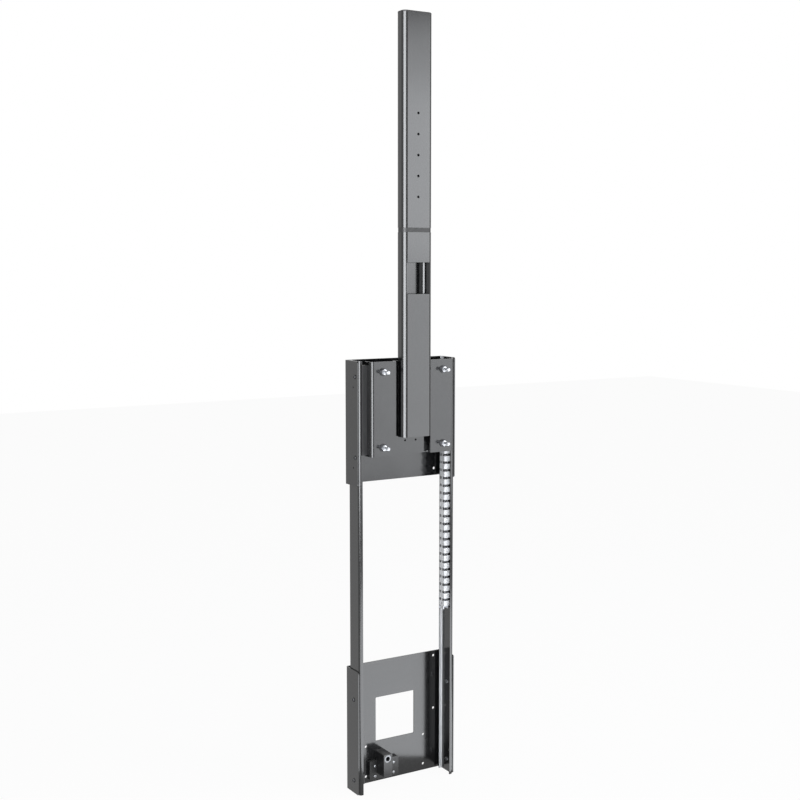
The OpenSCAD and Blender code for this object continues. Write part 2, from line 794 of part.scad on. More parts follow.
module motor_body() {
    color(dark) on_rails() translate([-motor_x, -spindle_y, box_up - motor_len]) difference() {
        cylinder(r = motor_r, h = motor_len);
        translate([0, 0, motor_len - motor_shaft_deep - 2])
            cylinder(r = motor_shaft_r + journal_fit, h = motor_shaft_deep + 2 + cut);
        for (h = [motor_len / 4, 3 * motor_len / 4]) translate([0, 0, h]) rotate_extrude()
            translate([motor_r - motor_groove, 0]) square([2 * motor_groove, 2 * motor_groove]);
    }
}

module motor_cap() {
    color(steel) on_rails() translate([-motor_x, -spindle_y, box_up - motor_len - motor_cap_len])
        rotate_extrude() {
            translate([0, 2]) square([motor_r - 1, motor_cap_len - 2]);
            square([motor_r - 4, motor_cap_len]);
        }
}

// Screw spindle: journal in the foot bearing, thread, journal through the gearbox floor.
spindle_foot_h = bearing_h0;
thread_h0 = bearing_h0 + bearing_w + 1;
thread_h1 = box_up - 1;

module spindle() {
    color(zinc) on_rails() translate([-spindle_x, -spindle_y, 0]) {
        translate([0, 0, spindle_foot_h]) cylinder(r = journal_r, h = thread_h0 - spindle_foot_h);
        translate([0, 0, thread_h0]) cylinder(r = spindle_r, h = thread_h1 - thread_h0);
        translate([0, 0, thread_h1]) cylinder(r = journal_r, h = gear_up + gear_w + 2 - thread_h1);
    }
}

// Carriage: two wings, a seat pressed in between them, and a flange down each side.
module seat_pocket(grow) {
    x = seat_w / 2 + grow;
    deep = seat_depth + grow;
    difference() {
        translate([-x, carriage_y - cut]) square([2 * x, deep + cut]);
        for (s = [-1, 1]) translate([s * (x - seat_bend), carriage_y + deep - seat_bend])
            difference() {
                translate([s > 0 ? 0 : -seat_bend - cut, 0]) square([seat_bend + cut, seat_bend + cut]);
                circle(seat_bend);
            }
    }
}

module carriage_section() {
    long = carriage_side + 4 * carriage_bend;
    intersection() {
        union() {
            difference() {
                translate([0, carriage_y + long / 2]) round_rect(carriage_w, long, carriage_bend);
                translate([0, carriage_y + long / 2])
                    round_rect(carriage_w - 2 * carriage_t, long - 2 * carriage_t,
                               carriage_bend - carriage_t);
            }
            seat_pocket(carriage_t);
        }
        difference() {
            translate([-carriage_w, carriage_y]) square([2 * carriage_w, carriage_side]);
            seat_pocket(0);
        }
    }
}

stud_rows = [carriage_up + stud_up, carriage_up + stud_up + stud_dz];
tube_screw_rows = [for (k = [0:3]) column_h + (k + 0.3) * tube_screw_pitch];
seat_hole_h = column_h - 0.26 * column_up;
seat_hole_x = 0.155 * seat_w;
guide_screw_rows = [for (k = [0:2]) guide_h0 + (0.22 + 0.31 * k) * guide_len];
guide_screw_y = (flange_back_y + rail_front_y - guide_gap - guide_front) / 2;
guide_screw_deep = 7;
angle_h = 42;
angle_screw_rows = [carriage_up + 0.43 * angle_h, carriage_up + 0.81 * angle_h];
angle_screw_y = carriage_y + carriage_bend + 2.1 * m4_head_r;
slot_front_y = carriage_y + 0.4 * seat_depth;

module carriage_plate() {
    color(steel) on_rails() difference() {
        translate([0, 0, carriage_up]) linear_extrude(carriage_h) carriage_section();
        for (x = [-stud_dx / 2, stud_dx / 2], h = stud_rows)
            translate([x, carriage_y - cut, h]) along_y(stud_r + screw_play, carriage_t + 2 * cut);
        for (h = tube_screw_rows) translate([0, seat_y - cut, h])
            along_y(m5_r + screw_play, carriage_t + 2 * cut);
        for (x = [-seat_hole_x, seat_hole_x]) translate([x, seat_y - cut, seat_hole_h])
            along_y(m5_r + screw_play, carriage_t + 2 * cut);
        block(seat_w / 2 - slot_w + carriage_t, seat_w / 2 + carriage_t + cut, slot_front_y,
              seat_y + carriage_t + cut, carriage_up + slot_up, carriage_up + slot_up + slot_h);
        left_and_right() for (h = guide_screw_rows)
            translate([flange_x - carriage_t - cut, guide_screw_y, h])
                along_x(m4_r + screw_play, carriage_t + 2 * cut);
        left_and_right() for (h = angle_screw_rows)
            translate([flange_x - carriage_t - cut, angle_screw_y, h])
                along_x(m4_r + screw_play, carriage_t + 2 * cut);
    }
}

stud_head_h = 5;
stud_shank_r = 0.9 * stud_r;                      // the stud is thinner where its nut and plate hold it

module carriage_studs() {
    color(zinc) on_rails() for (x = [-stud_dx / 2, stud_dx / 2], h = stud_rows)
        translate([x, carriage_y - stud_out, h]) {
            along_y(stud_shank_r, stud_out + carriage_t);
            along_y(stud_r, stud_out - washer_t - nut_h - seat_gap);
            translate([0, stud_out + carriage_t, 0]) rotate([-90, 0, 0])
                cylinder(r = nut_flats / sqrt(3), h = stud_head_h, $fn = 6);
        }
}

module stud_washers() {
    color(dark) on_rails() for (x = [-stud_dx / 2, stud_dx / 2], h = stud_rows)
        translate([x, carriage_y - washer_t, h]) difference() {
            along_y(washer_r, washer_t);
            translate([0, -cut, 0]) along_y(stud_r + screw_play, washer_t + 2 * cut);
        }
}

module stud_nuts() {
    color(zinc) on_rails() for (x = [-stud_dx / 2, stud_dx / 2], h = stud_rows)
        translate([x, carriage_y - washer_t - nut_h, h]) difference() {
            rotate([-90, 0, 0]) cylinder(r = nut_flats / sqrt(3), h = nut_h, $fn = 6);
            translate([0, -cut, 0]) along_y(stud_shank_r + screw_grip, nut_h + 2 * cut);
        }
}

// Moulded strip that grips the edge of the right rail's front lip.
module guide_section() {
    front_y = rail_front_y - guide_gap - guide_front;
    groove_x = lip_x - guide_gap;
    difference() {
        union() {
            translate([flange_x, front_y])
                square([groove_x + guide_reach - flange_x, guide_back_y - front_y]);
            translate([flange_x, guide_back_y - guide_back]) square([guide_tip_x - flange_x, guide_back]);
        }
        translate([groove_x, rail_front_y - guide_gap])
            square([rail_lip + cut, rail_t + 2 * guide_gap]);
    }
}

module guide() {
    difference() {
        translate([0, 0, guide_h0]) linear_extrude(guide_len) guide_section();
        for (h = guide_screw_rows) translate([flange_x - cut, guide_screw_y, h])
            along_x(m4_r + screw_grip, guide_screw_deep + 2 * cut);
    }
}

module guide_left() { color(nylon) on_rails() mirror([1, 0, 0]) guide(); }
module guide_right() { color(nylon) on_rails() guide(); }

module guide_screws() {
    color(zinc) on_rails() left_and_right() for (h = guide_screw_rows)
        translate([flange_x - carriage_t, guide_screw_y, h]) {
            along_x(m4_r, carriage_t + guide_screw_deep);
            translate([-m4_head_h, 0, 0]) along_x(m4_head_r, m4_head_h);
        }
}

// Angle that carries the drive nut on the carriage's left flange.
angle_y0 = carriage_y + carriage_bend + 1;
nut_bore_r = spindle_r + seat_gap;
nut_wall = 3.2;
nut_flange_out = 6.5;
nut_body_r = nut_bore_r + nut_wall;
nut_flange_r = nut_body_r + nut_flange_out;
nut_flange_t = 5;
nut_leg_x0 = -spindle_x - nut_flange_r + 1;
nut_leg_x1 = -spindle_x + nut_flange_r + 2 * nut_flange_out - angle_t;
nut_leg_y0 = guide_back_y + 1;
nut_leg_y1 = -spindle_y + 0.8 * nut_flange_r;
nut_screw_in = (nut_body_r + nut_flange_r) / 2;
nut_screw_spots = [for (s = [-1, 1]) [-spindle_x + s * nut_screw_in, -spindle_y]];

module nut_bracket() {
    inside = -flange_x + carriage_t;
    color(steel) on_rails() difference() {
        union() {
            block(inside, inside + angle_t, angle_y0, flange_back_y, carriage_up, carriage_up + angle_h);
            block(inside, nut_leg_x1, angle_y0, nut_leg_y1, carriage_up, carriage_up + angle_t);
            block(nut_leg_x0, nut_leg_x1, nut_leg_y0, nut_leg_y1, carriage_up, carriage_up + angle_t);
        }
        translate([-spindle_x, -spindle_y, carriage_up - cut])
            cylinder(r = spindle_r + 1.5, h = angle_t + 2 * cut);
        for (s = nut_screw_spots) translate([s[0], s[1], carriage_up - cut])
            cylinder(r = m3_r + screw_play, h = angle_t + 2 * cut);
        for (h = angle_screw_rows)
            translate([inside - cut, angle_screw_y, h]) along_x(m4_r + screw_grip, angle_t + 2 * cut);
    }
}

module drive_nut() {
    color(nylon) on_rails() difference() {
        translate([-spindle_x, -spindle_y, carriage_up + angle_t]) {
            cylinder(r = nut_flange_r, h = nut_flange_t);
            cylinder(r = nut_body_r, h = nut_len);
        }
        translate([-spindle_x, -spindle_y, carriage_up]) cylinder(r = nut_bore_r, h = nut_len + 2 * angle_t);
        for (s = nut_screw_spots)
            translate([s[0], s[1], carriage_up])
                cylinder(r = m3_r + screw_play, h = 2 * angle_t + nut_flange_t);
    }
}

module nut_bracket_screws() {
    deep = angle_t + carriage_t;
    color(zinc) on_rails() for (h = angle_screw_rows)
        translate([-flange_x + deep, angle_screw_y, h]) {
            translate([-deep, 0, 0]) along_x(m4_r, deep);
            along_x(m4_head_r, m4_head_h);
        }
}

module drive_nut_screws() {
    deep = angle_t + nut_flange_t;
    color(zinc) on_rails() for (s = nut_screw_spots) translate([s[0], s[1], carriage_up]) {
        cylinder(r = m3_r, h = deep);
        translate([0, 0, deep]) cylinder(r = m3_head_r, h = m3_head_h);
    }
}

// Plate on the carriage's right flange that holds the chain's moving end.
chain_plate_t = 2.2;
chain_plate_h = 32;
chain_plate_h0 = carriage_up + chain_plate_h / 4;

module chain_bracket() {
    inside = flange_x - carriage_t;
    side = chain_in_x - seat_gap;
    color(zinc) on_rails() difference() {
        union() {
            block(side - chain_plate_t, inside, angle_y0, flange_back_y, chain_plate_h0,
                  chain_plate_h0 + chain_plate_h);
            block(side - chain_plate_t, side, angle_y0, chain_y + chain_half_d - 2, chain_plate_h0,
                  chain_plate_h0 + chain_plate_h);
        }
        for (h = angle_screw_rows) translate([side - chain_plate_t - cut, angle_screw_y, h])
            along_x(m4_r + screw_grip, inside - side + chain_plate_t + 2 * cut);
    }
}

module chain_bracket_screws() {
    color(zinc) on_rails() for (h = angle_screw_rows)
        translate([chain_in_x - seat_gap - chain_plate_t, angle_screw_y, h]) {
            along_x(m4_r, flange_x - chain_in_x + seat_gap + chain_plate_t);
            translate([-m4_head_h, 0, 0]) along_x(m4_head_r, m4_head_h);
        }
}

// Column: a lower and an upper tube, spliced inside.
module tube_section() {
    difference() {
        round_rect(column_w, column_d, column_r);
        round_rect(column_w - 2 * column_t, column_d - 2 * column_t, column_r - column_t);
    }
}

module at_column(h) {
    translate([0, column_mid_y, h]) children();
}

module lower_tube() {
    color(steel) on_rails() difference() {
        at_column(column_h) linear_extrude(lower_tube_len) tube_section();
        block(-cable_cut_w / 2, cable_cut_w / 2, column_front_y - cut, column_front_y + column_t + cut,
              cable_cut_h0, cable_cut_h0 + cable_cut_h);
        for (h = tube_screw_rows) translate([0, seat_y - column_t - cut, h])
            along_y(m5_r + screw_play, column_t + 2 * cut);
        splice_screw_holes(m3_r + screw_play);
    }
}

module joint_ring() {
    color(dark) on_rails() at_column(ring_h0) linear_extrude(joint_ring_h) difference() {
        round_rect(column_w - 2 * joint_ring_in, column_d - 2 * joint_ring_in, column_r - joint_ring_in);
        round_rect(column_w - 2 * column_t, column_d - 2 * column_t, column_r - column_t);
    }
}

bracket_hole_rows = [for (k = [0:bracket_holes - 1]) upper_h0 + bracket_hole_up + k * bracket_pitch];

module upper_tube() {
    color(steel) on_rails() difference() {
        at_column(upper_h0) linear_extrude(upper_tube_len) tube_section();
        for (h = bracket_hole_rows)
            translate([0, column_front_y - cut, h]) along_y(bracket_hole_r, column_t + 2 * cut);
        splice_screw_holes(m3_r + screw_play);
    }
}

// Sleeve inside both tubes, open in the middle for the cables.
splice_fit = 0.2;
splice_h0 = ring_h0 + joint_ring_h / 2 - splice_len / 2;
splice_screw_rows = [splice_h0 + 0.15 * splice_len, splice_h0 + 0.85 * splice_len];
splice_screw_x = column_w / 4;
splice_deep = column_t + splice_fit + splice_t;

module tube_splice() {
    w = column_w - 2 * (column_t + splice_fit);
    d = column_d - 2 * (column_t + splice_fit);
    r = column_r - column_t - splice_fit;
    color(zinc) on_rails() difference() {
        at_column(splice_h0) linear_extrude(splice_len) difference() {
            round_rect(w, d, r);
            round_rect(w - 2 * splice_t, d - 2 * splice_t, r - splice_t);
        }
        splice_screw_holes(m3_r + screw_grip);
    }
}

module splice_screw_holes(r) {
    for (x = [-splice_screw_x, splice_screw_x], h = splice_screw_rows)
        translate([x, seat_y - splice_deep - cut, h]) along_y(r, splice_deep + 2 * cut);
}

module splice_screws() {
    color(zinc) on_rails() for (x = [-splice_screw_x, splice_screw_x], h = splice_screw_rows)
        translate([x, seat_y - splice_deep, h]) {
            along_y(m3_r, splice_deep);
            translate([0, splice_deep, 0]) along_y(m3_head_r, m3_head_h);
        }
}

cap_edge = 1.6;
cap_plug_h = 12;
cap_play = 0.2;
cap_wall = 2;

module plug_outline(inset) {
    round_rect(column_w - 2 * inset, column_d - 2 * inset, column_r - inset);
}

module tube_cap() {
    color(dark) on_rails() at_column(cap_h0) {
        hull($fn = 32) {
            linear_extrude(cap_h - cap_edge) plug_outline(0);
            linear_extrude(cap_h) plug_outline(cap_edge);
        }
        translate([0, 0, -cap_plug_h]) linear_extrude(cap_plug_h) difference() {
            plug_outline(column_t + cap_play);
            plug_outline(column_t + cap_play + cap_wall);
        }
    }
}

strip_end = 10;

module tube_nut_strip() {
    color(zinc) on_rails() difference() {
        block(-strip_w / 2, strip_w / 2, seat_y - column_t - strip_t, seat_y - column_t,
              tube_screw_rows[0] - strip_end, tube_screw_rows[3] + strip_end);
        for (h = tube_screw_rows) translate([0, seat_y - column_t - strip_t - cut, h])
            along_y(m5_r + screw_grip, strip_t + 2 * cut);
    }
}

module tube_screws() {
    color(zinc) on_rails() for (h = tube_screw_rows)
        translate([0, seat_y - column_t - strip_t, h]) {
            along_y(m5_r, strip_t + column_t + carriage_t);
            translate([0, strip_t + column_t + carriage_t, 0]) along_y(m5_head_r, m5_head_h);
        }
}

module tv_nut_strip() {
    inner = column_front_y + column_t;
    color(zinc) on_rails() difference() {
        block(-strip_w / 2, strip_w / 2, inner, inner + strip_t, bracket_hole_rows[0] - strip_end / 2,
              bracket_hole_rows[bracket_holes - 1] + strip_end);
        for (h = bracket_hole_rows) translate([0, inner - cut, h])
            along_y(bracket_hole_r - 0.6, strip_t + 2 * cut);
    }
}

// Cable chain in the right rail. Every link has two cranked sides and two cross bars.
// A side's lower half lies in the outer layer, its upper half in the inner layer.
chain_mid_x = (chain_in_x + chain_out_x) / 2;
inner_layer_x = chain_w / 2 - link_side_w;        // inner face of a side, from the chain's middle
pivot_fit = 0.15;

module at_link(k) {
    translate([chain_mid_x, chain_y, chain_up + (k + 0.5) * link_pitch]) children();
}

// A plate whose outline lies in the plane of depth and height.
module side_plate(x, t) {
    translate([x, 0, 0]) rotate([90, 0, 90]) linear_extrude(t) children();
}

module joint_disc(r, flat) {
    intersection() {
        circle(r);
        square([2 * flat, 3 * r], center = true);
    }
}

module outer_half() {
    difference() {
        union() {
            joint_disc(link_disc_r, bar_in);
            translate([-link_neck / 2, 0]) square([link_neck, link_pitch / 2]);
        }
        translate([0, link_pitch]) circle(link_disc_r + link_gap);
        circle(pivot_r + pivot_fit);
    }
}

module inner_half() {
    difference() {
        union() {
            translate([0, link_pitch]) circle(link_inner_r);
            translate([-link_neck / 2, 0]) square([link_neck, link_pitch]);
        }
        circle(link_inner_r + link_gap);
    }
}

module link_side() {
    x0 = inner_layer_x;
    step_h = link_pitch - link_disc_r - link_gap - link_inner_r - link_gap;
    side_plate(x0 + link_side_t + link_lap, link_side_t) outer_half();
    side_plate(x0, link_side_t) inner_half();
    side_plate(x0, link_side_w) translate([-link_neck / 4, link_inner_r + link_gap])
        square([link_neck / 2, step_h]);
    translate([x0, 0, link_pitch]) along_x(pivot_r, link_side_w);
}

module chain_sides_right() {
    color(pale) on_rails() for (k = [0:link_count - 1]) at_link(k) link_side();
}

module chain_sides_left() {
    color(pale) on_rails() for (k = [0:link_count - 1]) at_link(k) mirror([1, 0, 0]) link_side();
}

link_bar_gap = 6;

module link_bars(y) {
    for (k = [0:link_count - 1]) at_link(k)
        translate([-chain_w / 2, y, -link_pitch / 2 + link_bar_gap / 2])
            cube([chain_w, link_bar_t, link_pitch - link_bar_gap]);
}

module chain_bars_front() { color(pale) on_rails() link_bars(-chain_half_d); }
module chain_bars_back() { color(pale) on_rails() link_bars(bar_in); }

// Connectors: the lower one has the studs of a link's upper end, the upper one its discs.
// A plate across the back joins a connector's sides, so the way for the cables stays free.
end_h = 16;
end_plate_h = 5.5;

module end_neck(h0) {
    translate([-link_neck / 2, h0]) square([link_neck / 2 + bar_in, end_h]);
}

module chain_ends() {
    color(zinc) on_rails() {
        at_link(-1) {
            for (m = [0, 1]) mirror([m, 0, 0]) {
                side_plate(inner_layer_x, link_side_t) {
                    translate([0, link_pitch]) circle(link_inner_r);
                    end_neck(link_pitch - end_h);
                }
                translate([inner_layer_x, 0, link_pitch]) along_x(pivot_r, link_side_w);
            }
            translate([-inner_layer_x - link_side_t, bar_in, link_pitch - end_h])
                cube([2 * (inner_layer_x + link_side_t), link_bar_t, end_plate_h]);
        }
        at_link(link_count) {
            for (m = [0, 1]) mirror([m, 0, 0])
                side_plate(inner_layer_x + link_side_t + link_lap, link_side_t) difference() {
                    union() {
                        joint_disc(link_disc_r, bar_in);
                        end_neck(0);
                    }
                    circle(pivot_r + pivot_fit);
                }
            translate([-chain_w / 2, bar_in, end_h - end_plate_h])
                cube([chain_w, link_bar_t, end_plate_h]);
        }
    }
}

rail_left();
rail_right();
top_bracket();
foot_bracket();
bracket_screws();
bracket_screw_nuts();
top_stops();
foot_stops();
clamp_body();
clamp_gland();
clamp_screws();
chain_anchor();
chain_anchor_screws();
foot_block();
foot_bearing();
foot_block_screws();
drive_bracket();
drive_bracket_screws();
gearbox_body();
gearbox_cover();
gearbox_screws();
motor_body();
motor_cap();
motor_pinion();
spindle();
spindle_gear();
carriage_plate();
carriage_studs();
stud_washers();
stud_nuts();
guide_left();
guide_right();
guide_screws();
nut_bracket();
nut_bracket_screws();
drive_nut();
drive_nut_screws();
chain_bracket();
chain_bracket_screws();
lower_tube();
joint_ring();
upper_tube();
tube_splice();
splice_screws();
tube_cap();
tube_nut_strip();
tube_screws();
tv_nut_strip();
chain_sides_left();
chain_sides_right();
chain_bars_front();
chain_bars_back();
chain_ends();
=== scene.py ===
# Looks of the television lift: coated steel, zinc fasteners, nylon chain, soft studio light.
import json
import math

import bmesh
import bpy
from mathutils import Matrix, Vector


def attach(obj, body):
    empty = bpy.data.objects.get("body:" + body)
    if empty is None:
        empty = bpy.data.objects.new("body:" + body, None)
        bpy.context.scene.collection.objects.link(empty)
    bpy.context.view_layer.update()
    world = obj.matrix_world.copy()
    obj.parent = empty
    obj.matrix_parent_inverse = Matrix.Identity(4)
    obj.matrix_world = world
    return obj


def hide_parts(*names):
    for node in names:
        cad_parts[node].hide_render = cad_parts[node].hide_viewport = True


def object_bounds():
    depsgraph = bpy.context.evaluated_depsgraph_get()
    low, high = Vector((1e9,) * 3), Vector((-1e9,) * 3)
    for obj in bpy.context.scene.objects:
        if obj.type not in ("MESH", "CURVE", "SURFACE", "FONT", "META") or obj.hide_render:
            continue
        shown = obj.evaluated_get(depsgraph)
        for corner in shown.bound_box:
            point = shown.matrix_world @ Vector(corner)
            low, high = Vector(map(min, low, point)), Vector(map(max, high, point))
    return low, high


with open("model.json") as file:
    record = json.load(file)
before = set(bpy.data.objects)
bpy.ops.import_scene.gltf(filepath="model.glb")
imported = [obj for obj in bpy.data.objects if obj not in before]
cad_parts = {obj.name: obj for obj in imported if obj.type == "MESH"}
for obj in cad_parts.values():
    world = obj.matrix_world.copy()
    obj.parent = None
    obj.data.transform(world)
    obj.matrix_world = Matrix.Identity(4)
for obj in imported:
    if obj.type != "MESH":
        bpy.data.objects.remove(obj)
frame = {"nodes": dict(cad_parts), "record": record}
nodes = frame["nodes"]
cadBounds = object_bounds()
scene = bpy.context.scene
print("frame loaded:", len(nodes), "nodes")


# Small helpers for node trees

def addNode(tree, kind, inputs=None, **settings):
    node = tree.nodes.new(kind)
    for name, value in settings.items():
        setattr(node, name, value)
    for name, value in (inputs or {}).items():
        node.inputs[name].default_value = value
    return node


def wire(tree, source, target):
    tree.links.new(source, target)


def groupSocket(tree, name, way, kind, value=None):
    socket = tree.interface.new_socket(name=name, in_out=way, socket_type=kind)
    if value is not None:
        socket.default_value = value


def placeGroup(tree, group, values):
    return addNode(tree, "ShaderNodeGroup", values, node_tree=group)


# Camera

cameraLook = {
    "place": (-1.6482, -2.7704, 1.2713),
    "tilt": 84.047,     # degrees from straight down
    "turn": -31.011,    # degrees about the vertical
    "lens": 57.31,      # millimetres
    "sensor": 36,       # width in millimetres
    "farthest": 60,     # metres that are still shown
}


def placeCamera(look):
    data = bpy.data.cameras.new("camera")
    data.lens = look["lens"]
    data.sensor_width = look["sensor"]
    data.clip_end = look["farthest"]
    camera = bpy.data.objects.new("camera", data)
    camera.location = look["place"]
    camera.rotation_euler = (math.radians(look["tilt"]), 0, math.radians(look["turn"]))
    scene.collection.objects.link(camera)
    scene.camera = camera


placeCamera(cameraLook)


# Light, background and floor

lightLook = {
    "fill": 0.42,                        # world light on matt surfaces
    "tint": (0.94, 0.965, 1.0),          # colour of every lamp
    "softboxes": [
        # name, place, aim, width, height, watts, lights matt surfaces, mirrored by glossy ones
        ("softboxFront", (2.75, -3.25, 1.12), (0, -0.05, 1.07), 2.5, 3.06, 88, True, True),
        ("softboxHigh", (2.7, -3.17, 1.8), (0, -0.05, 1.78), 2.2, 1.0, 13, True, True),
        ("softboxLeft", (-2.66, -2.85, 1.45), (0, -0.09, 1.4), 3.9, 3.3, 470, False, True),
        ("softboxTop", (-0.4, -1.4, 4.2), (0, -0.05, 0.9), 1.6, 1.6, 20, True, True),
        ("softboxLow", (0.143, -1.124, -0.05), (0.140, -1.119, 0.95), 2.0, 1.8, 55, False, True),
        ("fillFront", (-1.0, -3.5, 1.3), (0, -0.05, 0.9), 1.8, 2.4, 54, True, False),
    ],
    "floorWhite": (0.95, 0.95, 0.95, 1),
    "floorShare": 0.94,                  # share of plain white in the floor where it is seen or mirrored
    "floorHalf": 9,                      # metres from its middle to its edge
    "floorGap": 0.0005,                  # metres between the object and the floor
}
plainWhite = (1, 1, 1, 1)


def seenDirectly(tree):
    # 1 for rays from the camera, a mirroring surface or glass, which all find the plain white background
    rays = addNode(tree, "ShaderNodeLightPath")
    seen = rays.outputs["Is Camera Ray"]
    for name in ("Is Glossy Ray", "Is Transmission Ray"):
        either = addNode(tree, "ShaderNodeMath", operation="MAXIMUM")
        wire(tree, seen, either.inputs[0])
        wire(tree, rays.outputs[name], either.inputs[1])
        seen = either.outputs[0]
    return seen


def buildWorld(look):
    # plain white where it is seen or mirrored, an even fill where it lights matt surfaces
    world = bpy.data.worlds.new("studio")
    world.use_nodes = True
    tree = world.node_tree
    tree.nodes.clear()
    fill = addNode(tree, "ShaderNodeBackground", {"Color": plainWhite, "Strength": look["fill"]})
    white = addNode(tree, "ShaderNodeBackground", {"Color": plainWhite, "Strength": 1.0})
    either = addNode(tree, "ShaderNodeMixShader")
    out = addNode(tree, "ShaderNodeOutputWorld")
    wire(tree, seenDirectly(tree), either.inputs[0])
    wire(tree, fill.outputs[0], either.inputs[1])
    wire(tree, white.outputs[0], either.inputs[2])
    wire(tree, either.outputs[0], out.inputs["Surface"])
    scene.world = world


def hangSoftbox(tint, name, place, aim, width, height, watts, matt, glossy):
    data = bpy.data.lights.new(name, "AREA")
    data.shape = "RECTANGLE"
    data.size = width
    data.size_y = height
    data.energy = watts
    data.color = tint
    lamp = bpy.data.objects.new(name, data)
    lamp.visible_camera = False
    lamp.visible_diffuse = matt
    lamp.visible_glossy = glossy
    lamp.location = place
    lamp.rotation_euler = (Vector(aim) - Vector(place)).to_track_quat("-Z", "Y").to_euler()
    scene.collection.objects.link(lamp)


def layFloor(look):
    # nearly white, partly matt so that it keeps the object's shadow
    mesh = bpy.data.meshes.new("floor")
    low = cadBounds[0][2] - look["floorGap"]
    half = look["floorHalf"]
    corners = [(-half, -half, low), (half, -half, low), (half, half, low), (-half, half, low)]
    mesh.from_pydata(corners, [], [(0, 1, 2, 3)])
    floor = bpy.data.objects.new("floor", mesh)
    scene.collection.objects.link(floor)
    material = bpy.data.materials.new("paleFloor")
    material.use_nodes = True
    tree = material.node_tree
    tree.nodes.clear()
    matt = addNode(tree, "ShaderNodeBsdfDiffuse", {"Color": look["floorWhite"]})
    glow = addNode(tree, "ShaderNodeEmission", {"Color": plainWhite, "Strength": 1.0})
    share = addNode(tree, "ShaderNodeMath", {1: look["floorShare"]}, operation="MULTIPLY")
    mixed = addNode(tree, "ShaderNodeMixShader")
    out = addNode(tree, "ShaderNodeOutputMaterial")
    wire(tree, seenDirectly(tree), share.inputs[0])
    wire(tree, share.outputs[0], mixed.inputs[0])
    wire(tree, matt.outputs[0], mixed.inputs[1])
    wire(tree, glow.outputs[0], mixed.inputs[2])
    wire(tree, mixed.outputs[0], out.inputs["Surface"])
    mesh.materials.append(material)


scene.view_settings.view_transform = "Standard"
buildWorld(lightLook)
for softbox in lightLook["softboxes"]:
    hangSoftbox(lightLook["tint"], *softbox)
layFloor(lightLook)
print("camera, light and floor set")


# Shared surface effects

effectLook = {
    "peelScale": 0.28,     # of the grain's own scale
    "peelShare": 0.45,
    "patchScale": 9.0,     # patches in which rubs gather
    "speckScale": 130.0,   # specks of dust
    "cloudScale": 90.0,    # clouds in a plating
    "cloudShare": 0.6,
}


def grainGroup():
    # fine bumps of a coat or a moulding, and slow mottling of its colour
    tree = bpy.data.node_groups.new("coatGrain", "ShaderNodeTree")
    groupSocket(tree, "Place", "INPUT", "NodeSocketVector")
    groupSocket(tree, "Grain Scale", "INPUT", "NodeSocketFloat", 1400)
    groupSocket(tree, "Mottle Scale", "INPUT", "NodeSocketFloat", 14)
    groupSocket(tree, "Height", "OUTPUT", "NodeSocketFloat")
    groupSocket(tree, "Mottle", "OUTPUT", "NodeSocketFloat")
    given = addNode(tree, "NodeGroupInput")
    made = addNode(tree, "NodeGroupOutput")
    fine = addNode(tree, "ShaderNodeTexNoise", {"Detail": 2.0, "Roughness": 0.55})
    peel = addNode(tree, "ShaderNodeTexNoise", {"Detail": 1.0, "Roughness": 0.4})
    slow = addNode(tree, "ShaderNodeTexNoise", {"Detail": 4.0, "Roughness": 0.6})
    wide = addNode(tree, "ShaderNodeMath", {1: effectLook["peelScale"]}, operation="MULTIPLY")
    blend = addNode(tree, "ShaderNodeMix", {"Factor": effectLook["peelShare"]}, data_type="FLOAT")
    curve = addNode(tree, "ShaderNodeMapRange", {"From Min": 0.32, "From Max": 0.68})
    for noise in (fine, peel, slow):
        wire(tree, given.outputs["Place"], noise.inputs["Vector"])
    wire(tree, given.outputs["Grain Scale"], fine.inputs["Scale"])
    wire(tree, given.outputs["Grain Scale"], wide.inputs[0])
    wire(tree, wide.outputs[0], peel.inputs["Scale"])
    wire(tree, given.outputs["Mottle Scale"], slow.inputs["Scale"])
    wire(tree, fine.outputs["Fac"], blend.inputs["A"])
    wire(tree, peel.outputs["Fac"], blend.inputs["B"])
    wire(tree, blend.outputs["Result"], made.inputs["Height"])
    wire(tree, slow.outputs["Fac"], curve.inputs["Value"])
    wire(tree, curve.outputs["Result"], made.inputs["Mottle"])
    return tree


